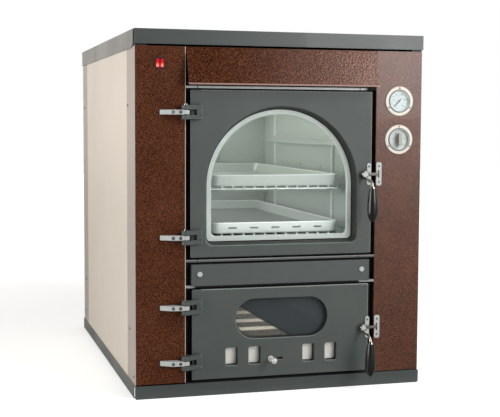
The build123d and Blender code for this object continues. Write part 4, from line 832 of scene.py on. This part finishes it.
def numeral(shape, words, size, middle, depth):
    """Flat text that faces the front, with its middle at this X and Z."""
    curve = bpy.data.curves.new("numeral", "FONT")
    curve.body = words
    curve.size = size
    curve.align_x = "CENTER"
    curve.align_y = "CENTER"
    curve.resolution_u = 4
    holder = bpy.data.objects.new("numeral", curve)
    mesh = bpy.data.meshes.new_from_object(holder)
    mesh.transform(Matrix.Translation((middle[0], depth, middle[1])) @ TO_FRONT)
    shape.from_mesh(mesh)
    bpy.data.meshes.remove(mesh)
    bpy.data.objects.remove(holder)
    bpy.data.curves.remove(curve)


def sheet_lip(node, drop, material):
    """Folded lip that hangs this far below a sheet's front edge."""
    thickness = 0.0016
    overlap = 0.0006
    low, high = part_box(node)
    shape = bmesh.new()
    bar(shape, (low.x, low.y, low.z - drop), (high.x, low.y + thickness, low.z + overlap), edge=0.0006)
    piece(node + "_lip", shape, "cabinet", material, smooth=False)


def box_middle(node):
    """Middle of a node's box."""
    low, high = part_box(node)
    return (low + high) / 2


class OVEN_OT_cabinet(Operator):
    """Paint the lid, base, posts, panels, stiles and hood"""

    bl_idname = "oven.cabinet"
    bl_label = "Cabinet paint"

    def execute(self, context):
        """Give each sheet its paint and add the seams of the bright strip."""
        finishes = context.scene.oven_finish
        low = finishes.hammertone_low
        high = finishes.hammertone_high
        fine_cells = 430.0
        lid_shadow = 0.0015
        bar_band = 0.010
        stile_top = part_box("left_stile")[1]
        # Left stile: a shaded copy of the stile paint, its colours darkened by 0.85 as painted shade
        dress(hammertone_finish("hammertone_left_shaded", shade(low, 0.85), shade(high, 0.85), fine_cells, 0.0004,
                                gloss=0.05, highlight_edge=stile_top.x), "left_stile")
        dress(hammertone_finish("hammertone_right", low, high, fine_cells, 0.0004, gloss=0.6), "right_stile")
        hood_low, hood_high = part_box("header_hood")
        # Hood: painted shade on its left, growing into a painted copper sheen on its right
        dress(hammertone_finish("hammertone_hood", low, high, 270.0, 0.0020, gloss=0.9, shine=(0.14, 0.26),
                                sheen_span=(hood_low.x + 0.03, hood_high.x + 0.01)), "header_hood")
        sheet_lip("header_hood", 0.0038,
                  sheet_paint_finish("hood_lip_paint", BARE_FOLD, 0.4))
        dress(sheet_paint_finish("lid_paint", finishes.grey_paint, 0.36, coat=0.12),
              "top_cover", "base_frame")
        dress(sheet_paint_finish("cream_panel_paint", finishes.cream_paint, 0.42, smudge=0.05, wear=0.05),
              "left_side_panel", "right_side_panel")
        dress(post_finish("post_paint", finishes.post_paint, stile_top.z - lid_shadow),
              "front_posts", "rear_posts")
        cover_paint = sheet_paint_finish("cover_paint", finishes.cover_paint, 0.5, orange_peel=0.00012)
        dress(cover_paint, "middle_cover")
        sheet_lip("middle_cover", 0.0055, cover_paint)
        dress(spangled_finish("galvanised_sheet", finishes.zinc), "rear_panel", "flue_collar")
        # Near-black painted shadow on the front frame wherever its bars are not lit
        bar_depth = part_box("front_frame")[0].y + bar_band
        dress(front_frame_finish("front_frame_lit_and_shaded", finishes.zinc, paint(7, 7, 7), bar_depth),
              "front_frame")
        return {"FINISHED"}


class OVEN_OT_doors(Operator):
    """Finish the castings, window ring, panes and rope gaskets of both doors"""

    bl_idname = "oven.doors"
    bl_label = "Doors"

    def execute(self, context):
        """Dress the door nodes and braid a rope in place of each plain gasket."""
        finishes = context.scene.oven_finish
        fittings = context.scene.oven_fittings
        below_window = 0.2
        ring_to_ears = 0.020
        face_depth = cad_face("oven_door", 0.0, box_middle("oven_door").z - below_window)
        ear_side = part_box("oven_window_ring")[0].x - ring_to_ears
        # Painted shade for the sunk walls: dark olive in the oven door, black in the firebox door
        for door, well_shade in (("oven_door", paint(36, 35, 28)), ("firebox_door", paint(6, 8, 7))):
            dress(casting_finish(door + "_casting", finishes.door_iron, face_depth, ear_side, well_shade), door)
        dress(enamel_finish("ring_enamel", finishes.ring), "oven_window_ring")
        dress(clear_glass_finish("window_glass", paint(243, 246, 245)), "oven_window_glass")
        # Firebox pane: painted shadow over all but the corner where light falls onto the log guard
        dress(stained_glass_finish("shadowed_firebox_glass", paint(212, 210, 204), paint(64, 69, 72),
                                   *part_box("firebox_window_glass")), "firebox_window_glass")
        dress(brushed_finish("liner_steel", paint(120, 118, 114), ALONG_X, roughness=0.45, tarnish=0.5),
              "oven_glass_retainer", "firebox_door_liner")
        dress(brushed_finish("shutter_steel", paint(236, 235, 228), ALONG_X, roughness=0.5, metallic=0.1,
                             tarnish=0.1), "air_shutter")
        rope = rope_finish("gasket_rope", finishes.rope)
        for door in ("oven_door", "firebox_door"):
            cord = rope_gasket(door + "_gasket", door + "_leaf", rope, fittings.rope_braid)
            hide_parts(door + "_gasket")
        return {"FINISHED"}


def rope_gasket(node, body, material, pitch):
    """Braided rope round the back of a door, in the space of the plain gasket."""
    section = 0.0090
    corner = 0.006
    sides = 14
    relief = 0.07
    low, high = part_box(node)
    middle = (low + high) / 2
    half_depth = (high.y - low.y) / 2
    route = rounded_route((high.x - low.x - section) / 2, (high.z - low.z - section) / 2, corner, pitch / 4)
    shape = bmesh.new()
    rings = []
    travelled = 0.0
    for index, (point, outward) in enumerate(route):
        if index:
            travelled += (point - route[index - 1][0]).length
        ring = []
        for step in range(sides):
            angle = 2 * math.pi * step / sides
            wind = 2 * math.pi * travelled / pitch
            braid = math.sin(wind + 2 * angle) * math.sin(wind - 2 * angle)
            swell = 1.0 - relief + relief * braid
            side = outward * (section / 2 * swell * math.cos(angle))
            ring.append(shape.verts.new((
                middle.x + point.x + side.x,
                middle.y + half_depth * swell * math.sin(angle),
                middle.z + point.y + side.y,
            )))
        rings.append(ring)
    for first, second in zip(rings, rings[1:] + rings[:1]):
        bridge(shape, first, second)
    return piece(node + "_rope", shape, body, material)


def rounded_route(half_x, half_z, corner, spacing):
    """Evenly spaced points round a rectangle with round corners, each with its outward direction."""
    turns = 6
    stretches = []
    for quarter, (sign_x, sign_z) in enumerate(((1, 1), (-1, 1), (-1, -1), (1, -1))):
        centre = Vector((sign_x * (half_x - corner), sign_z * (half_z - corner)))
        for step in range(turns + 1):
            angle = (quarter + step / turns) * math.pi / 2
            outward = Vector((math.cos(angle), math.sin(angle)))
            stretches.append((centre + outward * corner, outward))
    route = []
    for (point, outward), (following, following_outward) in zip(stretches, stretches[1:] + stretches[:1]):
        steps = max(1, round((following - point).length / spacing))
        for step in range(steps):
            share = step / steps
            direction = outward.lerp(following_outward, share)
            route.append((point.lerp(following, share), direction.normalized()))
    return route


class OVEN_OT_chamber(Operator):
    """Finish the oven chamber with its racks, trays, fan and lamp"""

    bl_idname = "oven.chamber"
    bl_label = "Oven chamber"

    def execute(self, context):
        """Dress the stainless pieces, each brushed its own way, and the fan and lamp."""
        finishes = context.scene.oven_finish
        steel = finishes.stainless
        upright_width = 0.0052
        loose_lines = (1.0, 0.1, 1.0)
        dress(brushed_finish("chamber_steel", steel, ALONG_Y, roughness=0.4, metallic=0.3,
                             scratch=FAINT_SCRATCH, tarnish=0.12), "oven_chamber")
        dress(guide_finish("guide_steel", steel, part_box("rack_guides")[1].x - upright_width), "rack_guides")
        # Painted shade on the trays' floors: light on the upper tray, deep on the lower
        dress(tray_finish("upper_tray_steel", steel, *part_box("tray_upper"), floor_shade=0.9), "tray_upper")
        dress(tray_finish("lower_tray_steel", steel, *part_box("tray_lower"), floor_shade=0.5), "tray_lower")
        dress(brushed_finish("rack_wire_steel", steel, loose_lines, roughness=0.3, metallic=0.6,
                             scratch=FAINT_SCRATCH), "wire_racks", "fan_guard")
        dress(brushed_finish("fan_steel", paint(150, 150, 150), loose_lines, roughness=0.4, tarnish=0.4),
              "fan_wheel", "fan_motor")
        dress(clear_glass_finish("lamp_glass", paint(255, 248, 228), roughness=0.12), "oven_lamp")
        return {"FINISHED"}


class OVEN_OT_firebox(Operator):
    """Finish the firebox, its bricks, grate, guard, ash pan and insulation"""

    bl_idname = "oven.firebox"
    bl_label = "Firebox"

    def execute(self, context):
        """Dress the sooted pieces, the bricks and the wool."""
        finishes = context.scene.oven_finish
        dress(sooted_finish("sooted_steel", finishes.soot), "smoke_jacket", "fire_grate")
        middle_post = 0.015
        guard_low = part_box("log_guard")[0]
        dress(guard_finish("guard_steel", paint(226, 220, 210), guard_low, middle_post), "log_guard")
        dress(sooted_finish("pan_steel", paint(190, 186, 180), rust=0.1), "ash_pan")
        dress(brick_finish("fire_brick", finishes.brick), "firebrick_lining")
        dress(wool_finish("mineral_wool"), "insulation_jacket")
        return {"FINISHED"}


class OVEN_OT_hinges(Operator):
    """Finish the hinge arms, their screws and pins"""

    bl_idname = "oven.hinges"
    bl_label = "Hinges"

    def execute(self, context):
        """Dress the plated arms, the chromed pins and the dark screws."""
        finishes = context.scene.oven_finish
        dress(zinc_plate(finishes), "hinge_arms", "middle_cover_bolts")
        dress(chrome(finishes), "hinge_pins")
        dress(brushed_finish("screw_steel", paint(150, 150, 147), EVEN, roughness=0.35, tarnish=0.5,
                             metallic=0.7), "hinge_arm_screws")
        return {"FINISHED"}


class OVEN_OT_latches(Operator):
    """Finish the latches and screw their plates and keepers down"""

    bl_idname = "oven.latches"
    bl_label = "Latches"

    def execute(self, context):
        """Dress levers, grips and keepers, and add two screws to each plate."""
        finishes = context.scene.oven_finish
        fittings = context.scene.oven_fittings
        plate_half = 0.0058
        plate_inset = 0.009
        keeper_inset = 0.010
        keeper_height = 0.0625
        rise = fittings.head_rise * 0.8
        dress(zinc_plate(finishes), "latch_keepers", "oven_latch_plate", "firebox_latch_plate")
        dress(chrome(finishes), "oven_latch_lever", "firebox_latch_lever")
        dress(brushed_finish("knob_steel", paint(222, 219, 212), ALONG_Z, roughness=0.3, metallic=0.35,
                             shelter=0.005), "shutter_knob")
        screw_steel = brushed_finish("plate_screw_steel", paint(120, 122, 120), EVEN, roughness=0.35,
                                     metallic=0.5, shelter=0.003)
        dress(plastic_finish("grip_plastic", finishes.grip, 0.26), "oven_latch_grip", "firebox_latch_grip")
        for door in ("oven", "firebox"):
            plate = door + "_latch_plate"
            low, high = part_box(plate)
            middle_x = high.x - plate_half
            face = cad_face(plate, middle_x, low.z + plate_inset)
            places = [(middle_x, face, z) for z in (low.z + plate_inset, high.z - plate_inset)]
            screw_set(door + "_plate_screws", places, TO_FRONT, fittings.plate_screw, rise,
                      door + "_door_leaf", screw_steel)
        low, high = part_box("latch_keepers")
        places = []
        for foot in (low.z, high.z - keeper_height):
            for z in (foot + keeper_inset, foot + keeper_height - keeper_inset):
                places.append(((low.x + high.x) / 2, low.y, z))
        screw_set("keeper_screws", places, TO_FRONT, fittings.plate_screw, rise, "cabinet",
                  screw_steel)
        return {"FINISHED"}


def cad_face(node, x, z):
    """Depth at which a line from the front meets a node."""
    hit, where, _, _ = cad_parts[node].ray_cast(Vector((x, cad_low.y - 1.0, z)), Vector((0.0, 1.0, 0.0)))
    if not hit:
        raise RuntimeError(f"nothing of {node} lies behind x {x:.3f}, z {z:.3f}")
    return where.y


class OVEN_OT_gauges(Operator):
    """Finish the thermometer and timer, with their scales and screws"""

    bl_idname = "oven.gauges"
    bl_label = "Gauges"

    def execute(self, context):
        """Dress the dials and add a plain scale and three screws to each."""
        finishes = context.scene.oven_finish
        fittings = context.scene.oven_fittings
        dress(brushed_finish("gauge_flange_metal", finishes.gauge_metal, (0.3, 1.0, 1.0), roughness=0.42,
                             metallic=0.25, tarnish=0.1), "gauge_flanges")
        dress(dial_finish("dial_face", finishes.dial, box_middle("thermometer_dial"),
                          box_middle("timer_dial")), "thermometer_dial", "timer_dial")
        dress(plastic_finish("needle_black", paint(20, 22, 28), 0.4), "thermometer_needle")
        dress(brushed_finish("timer_chrome", paint(156, 150, 143), ALONG_Z, roughness=0.34, metallic=0.4),
              "timer_knob")
        dress(clear_glass_finish("gauge_glass", paint(250, 252, 252), roughness=0.0), "thermometer_glass")
        ink = plastic_finish("scale_ink", paint(40, 44, 52), 0.5)
        for name, node, numbers in (("thermometer_scale", "thermometer_dial", range(0, 501, 100)),
                                    ("timer_scale", "timer_dial", range(0, 101, 20))):
            dial_scale(name, node, numbers, fittings, ink)
        flange_low, flange_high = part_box("gauge_flanges")
        radius = (flange_high.x - flange_low.x) / 2
        screw_ring = radius - 0.0045
        middle_x = (flange_low.x + flange_high.x) / 2
        places = []
        for centre_z in (flange_high.z - radius, flange_low.z + radius):
            for angle in (90, 210, 330):
                turn = math.radians(angle)
                places.append((middle_x + screw_ring * math.cos(turn), flange_low.y,
                               centre_z + screw_ring * math.sin(turn)))
        screw_steel = brushed_finish("gauge_screw_steel", paint(120, 118, 112), EVEN, roughness=0.35)
        screw_set("gauge_screws", places, TO_FRONT, fittings.gauge_screw, fittings.head_rise * 0.6, "cabinet",
                  screw_steel)
        return {"FINISHED"}


def dial_scale(name, node, numbers, fittings, ink):
    """Ticks and plain numbers round three quarters of a dial."""
    outer = 0.0245
    beside_middle = 0.012
    ink_rise = 0.00012
    first_angle = 225.0
    sweep = 270.0
    parts = 5
    middle = box_middle(node)
    depth = cad_face(node, middle.x + beside_middle, middle.z - beside_middle) - ink_rise
    steps = (len(numbers) - 1) * parts
    shape = bmesh.new()
    for step in range(steps + 1):
        angle = math.radians(first_angle - sweep * step / steps)
        long_tick = step % parts == 0
        length = fittings.tick_length if long_tick else fittings.tick_length * 0.55
        half_width = 0.00035 if long_tick else 0.0002
        outward = Vector((math.cos(angle), 0.0, math.sin(angle)))
        across = Vector((-math.sin(angle), 0.0, math.cos(angle))) * half_width
        centre = Vector((middle.x, depth, middle.z))
        tip = centre + outward * outer
        root = centre + outward * (outer - length)
        corners = (tip + across, tip - across, root - across, root + across)
        shape.faces.new([shape.verts.new(corner) for corner in corners])
        if long_tick:
            reach = outer - length - fittings.numeral * 0.75
            numeral(shape, str(numbers[step // parts]), fittings.numeral,
                    (middle.x + outward.x * reach, middle.z + outward.z * reach), depth)
    return piece(name, shape, "cabinet", ink, smooth=False)


class OVEN_OT_switch(Operator):
    """Finish the switch and the cable gland"""

    bl_idname = "oven.switch"
    bl_label = "Switch and gland"

    def execute(self, context):
        """Dress the black plastic and light the red keys."""
        finishes = context.scene.oven_finish
        dress(plastic_finish("switch_plastic", paint(36, 14, 12), 0.4), "switch_bezel")
        dress(plastic_finish("gland_plastic", paint(30, 30, 30), 0.5), "cable_gland")
        dress(lit_key_finish("switch_key_red", finishes.switch_red, box_middle("switch_bezel"),
                             *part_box("switch_key_left")), "switch_key_left", "switch_key_right")
        return {"FINISHED"}


class OVEN_OT_screws(Operator):
    """Add the screws of the panels and the zinc brackets in the base's corners"""

    bl_idname = "oven.screws"
    bl_label = "Screws and brackets"

    def execute(self, context):
        """Screw the side and rear panels down and set a bracket in each front corner of the base."""
        finishes = context.scene.oven_finish
        fittings = context.scene.oven_fittings
        margin = 0.014
        top_room = 0.06
        sheet = 0.0015
        inset = 0.0012
        bracket_foot = 0.004
        bracket_top = 0.0305
        bracket_depth = 0.0215
        dark_steel = brushed_finish("panel_screw_steel", paint(92, 88, 82), EVEN, roughness=0.45,
                                    metallic=0.7)
        cabinet_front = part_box("top_cover")[0].y
        post_low, post_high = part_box("front_posts")
        for side, turn in (("left", TO_LEFT), ("right", TO_RIGHT)):
            outer = post_low.x if side == "left" else post_high.x
            places = [(outer, cabinet_front + back, up) for back, up in PANEL_SCREWS]
            screw_set(side + "_panel_screws", places, turn, fittings.panel_screw, fittings.head_rise,
                      "cabinet", dark_steel)
        low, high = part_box("rear_panel")
        places = []
        for share in (0.0, 0.25, 0.5, 0.75, 1.0):
            z = low.z + margin + share * (high.z - low.z - top_room)
            for x in (low.x + margin, high.x - margin):
                places.append((x, high.y, z))
        for share in (0.3, 0.7):
            places.append((low.x + share * (high.x - low.x), high.y, low.z + margin))
        screw_set("rear_panel_screws", places, TO_REAR, fittings.panel_screw, fittings.head_rise, "cabinet",
                  zinc_plate(finishes))
        shape = bmesh.new()
        base_low, base_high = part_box("base_frame")
        for side in (-1, 1):
            outer = side * (base_high.x - inset)
            low_x, high_x = sorted((outer, outer - side * sheet))
            bar(shape, (low_x, base_low.y + inset, bracket_foot),
                (high_x, base_low.y + bracket_depth, bracket_top), edge=0.0006)
        # Nearly white matt zinc: the brackets' own pale zinc, lightened further as a painted highlight on the
        # base's front corners
        zinc_with_highlight = brushed_finish("zinc_with_highlight", paint(244, 244, 240), ALONG_Z, roughness=0.5, metallic=0.0,
                                   tarnish=0.05)
        piece("corner_brackets", shape, "cabinet", zinc_with_highlight, smooth=False)
        return {"FINISHED"}


class OVEN_OT_stage(Operator):
    """Set up the floor, the lamps, the sky and the camera"""

    bl_idname = "oven.stage"
    bl_label = "Stage"

    def execute(self, context):
        """Make the pale floor, three soft lamps, the lights inside the oven, the sky and the camera."""
        stage = context.scene.oven_stage
        floor = floor_plane()
        soft_lamp("key_lamp", (2.05, -3.5, 1.70), (0.1, -0.4, 0.6), 2.0, stage.key_power)
        soft_lamp("side_lamp", (-3.0, -0.9, 0.75), (-0.4, 0.0, 0.45), 1.8, stage.side_power)
        soft_lamp("top_lamp", (1.75, -1.85, 2.65), (0.0, -0.5, 0.86), 1.0, stage.top_power)
        chamber_bulb(stage.chamber_power)
        chamber_panels(stage.roof_power, stage.rack_power)
        sill_light(stage.sill_power)
        guard_light(stage.guard_power)
        pale_sky(stage.sky)
        place_camera(stage)
        context.scene.view_settings.view_transform = "Standard"
        return {"FINISHED"}


def floor_plane():
    """Wide pale floor that shows white to the camera, keeps soft shadows and is dim in what mirrors it."""
    half_width = 12.0
    dim_band = 0.03
    glow_start = 1.0
    glow_end = 3.5
    shape = bmesh.new()
    bmesh.ops.create_grid(shape, x_segments=1, y_segments=1, size=half_width)
    mesh = bpy.data.meshes.new("floor")
    shape.to_mesh(mesh)
    shape.free()
    floor = bpy.data.objects.new("floor", mesh)
    bpy.context.scene.collection.objects.link(floor)
    finish = Finish("pale_floor", roughness=0.8)
    path = finish.node("LightPath").outputs
    pale = finish.mixed(finish.noise(3.0), paint(236, 236, 234), paint(242, 242, 240))
    ahead = finish.spread(finish.axis("Y"), cad_low.y + dim_band, cad_low.y)
    finish.colour(finish.mixed(finish.both(path["Is Glossy Ray"], ahead), pale, paint(90, 90, 90)))
    away = finish.node("VectorMath", {0: finish.place}, operation="LENGTH").outputs["Value"]
    strength = finish.both(path["Is Camera Ray"], finish.spread(away, glow_start, glow_end, 0.5, 0.85))
    glow = finish.node("Emission", {"Color": WHITE, "Strength": strength}).outputs["Emission"]
    together = finish.node("AddShader", {0: finish.shader.outputs["BSDF"], 1: glow})
    finish.surface(together.outputs["Shader"])
    mesh.materials.append(finish.done())
    return floor


def soft_lamp(name, place, target, size, power):
    """Square soft lamp that points at a target."""
    light = bpy.data.lights.new(name, "AREA")
    light.shape = "SQUARE"
    light.size = size
    light.energy = power
    lamp = bpy.data.objects.new(name, light)
    lamp.location = place
    lamp.rotation_mode = "QUATERNION"
    lamp.rotation_quaternion = (Vector(target) - Vector(place)).to_track_quat("-Z", "Y")
    bpy.context.scene.collection.objects.link(lamp)
    return lamp


def chamber_bulb(power):
    """Small warm lamp just ahead of the glass dome in the chamber."""
    ahead_of_dome = 0.035
    light = bpy.data.lights.new("chamber_lamp", "POINT")
    light.energy = power
    light.shadow_soft_size = 0.03
    light.color = (1.0, 0.97, 0.9)
    bulb = bpy.data.objects.new("chamber_lamp", light)
    bulb.location = box_middle("oven_lamp")
    bulb.location.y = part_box("oven_lamp")[0].y - ahead_of_dome
    bpy.context.scene.collection.objects.link(bulb)


def hidden_panel(name, middle, direction, width, height, power):
    """Rectangular soft light whose own shape stays out of sight, also in mirrors and glass."""
    lamp = soft_lamp(name, middle, middle + Vector(direction), width, power)
    lamp.data.shape = "RECTANGLE"
    lamp.data.size_y = height
    lamp.visible_camera = False
    lamp.visible_glossy = False
    lamp.visible_transmission = False


def chamber_panels(roof_power, rack_power):
    """Even light under the roof and under the upper rack, for what the bright steel throws about."""
    rack_gap = 0.016
    roof_gap = 0.03
    low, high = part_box("tray_upper")
    for name, height, power in (("roof_light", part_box("oven_lamp")[1].z + roof_gap, roof_power),
                                ("rack_light", low.z - rack_gap, rack_power)):
        middle = Vector(((low.x + high.x) / 2, (low.y + high.y) / 2, height))
        hidden_panel(name, middle, (0.0, 0.0, -1.0), high.x - low.x, 0.9 * (high.y - low.y), power)


def sill_light(power):
    """Strips of light behind the window, for what the pale ground throws on the fronts of the trays."""
    pane_low, pane_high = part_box("oven_window_glass")
    for tray, share in (("tray_lower", 1.0), ("tray_upper", 0.35)):
        low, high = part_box(tray)
        middle = Vector(((pane_low.x + pane_high.x) / 2, pane_high.y + PANE_GAP, (low.z + high.z) / 2))
        hidden_panel(tray + "_light", middle, (0.0, 1.0, 0.0), 0.8 * (pane_high.x - pane_low.x),
                     1.6 * (high.z - low.z), power * share)


def guard_light(power):
    """Low strip of light behind the firebox window, for what the pale ground throws on the log guard."""
    pane_low, pane_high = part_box("firebox_window_glass")
    guard_low, guard_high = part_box("log_guard")
    width = 0.5 * (pane_high.x - pane_low.x)
    height = 0.4 * (guard_high.z - guard_low.z)
    middle = Vector((pane_low.x + width / 2, pane_high.y + PANE_GAP, guard_low.z + height / 2))
    hidden_panel("guard_light", middle, (0.0, 1.0, 0.0), width, height, power)


def pale_sky(strength):
    """Even light all round: white to the camera, warm and dim in front where a gloss mirrors the room."""
    world = bpy.data.worlds.new("pale_sky")
    world.use_nodes = True
    tree = world.node_tree
    path = new_node(tree, "LightPath").outputs
    tone = new_node(tree, "Mix", {"Factor": path["Is Glossy Ray"], 6: WHITE, 7: (1.0, 0.93, 0.86, 1.0)},
                    data_type="RGBA")
    direction = new_node(tree, "SeparateXYZ", {"Vector": new_node(tree, "TexCoord").outputs["Generated"]})
    room = new_node(tree, "MapRange", {"Value": direction.outputs["Y"], "From Min": -0.35, "From Max": 0.3,
                                       "To Min": 0.05, "To Max": 1.15})
    even = new_node(tree, "Mix", {"Factor": path["Is Glossy Ray"], "A": strength,
                                  "B": room.outputs["Result"]})
    seen = new_node(tree, "Mix", {"Factor": path["Is Camera Ray"], "A": even.outputs["Result"], "B": 1.0})
    background = tree.nodes["Background"].inputs
    feed(tree, background["Color"], tone.outputs[2])
    feed(tree, background["Strength"], seen.outputs["Result"])
    bpy.context.scene.world = world


def place_camera(stage):
    """Camera where the photograph was taken from."""
    sensor = 36.0
    image_width = 500.0
    data = bpy.data.cameras.new("camera")
    data.sensor_width = sensor
    data.lens = stage.focal_pixels / image_width * sensor
    data.clip_end = 100.0
    yaw, pitch, roll = stage.camera_turn
    turn = Matrix.Rotation(yaw, 4, "Z") @ Matrix.Rotation(pitch, 4, "X") @ Matrix.Rotation(roll, 4, "Y")
    camera = bpy.data.objects.new("camera", data)
    camera.matrix_world = Matrix.Translation(stage.camera_place) @ turn @ TO_FRONT
    bpy.context.scene.collection.objects.link(camera)
    bpy.context.scene.camera = camera


OPERATORS = (
    OVEN_OT_cabinet,
    OVEN_OT_doors,
    OVEN_OT_chamber,
    OVEN_OT_firebox,
    OVEN_OT_hinges,
    OVEN_OT_latches,
    OVEN_OT_gauges,
    OVEN_OT_switch,
    OVEN_OT_screws,
    OVEN_OT_stage,
)


class OVEN_PT_sidebar(Panel):
    """Buttons for each group of pieces"""

    bl_idname = "OVEN_PT_sidebar"
    bl_label = "Wood-fired oven"
    bl_space_type = "VIEW_3D"
    bl_region_type = "UI"
    bl_category = "Oven"

    def draw(self, context):
        """List the operators and the settings."""
        layout = self.layout
        for operator in OPERATORS:
            layout.operator(operator.bl_idname)
        for settings in (context.scene.oven_finish, context.scene.oven_fittings, context.scene.oven_stage):
            box = layout.box()
            for name in settings.__annotations__:
                box.prop(settings, name)


CLASSES = (OvenFinishSettings, OvenFittingSettings, OvenStageSettings, *OPERATORS, OVEN_PT_sidebar)


def register():
    """Add the settings, operators and panel to Blender."""
    for item in CLASSES:
        bpy.utils.register_class(item)
    bpy.types.Scene.oven_finish = PointerProperty(type=OvenFinishSettings)
    bpy.types.Scene.oven_fittings = PointerProperty(type=OvenFittingSettings)
    bpy.types.Scene.oven_stage = PointerProperty(type=OvenStageSettings)


def unregister():
    """Take them out again."""
    del bpy.types.Scene.oven_stage
    del bpy.types.Scene.oven_fittings
    del bpy.types.Scene.oven_finish
    for item in reversed(CLASSES):
        bpy.utils.unregister_class(item)


def main():
    register()
    for operator in OPERATORS:
        group, action = operator.bl_idname.split(".")
        getattr(getattr(bpy.ops, group), action)()


if __name__ == "__main__":
    main()
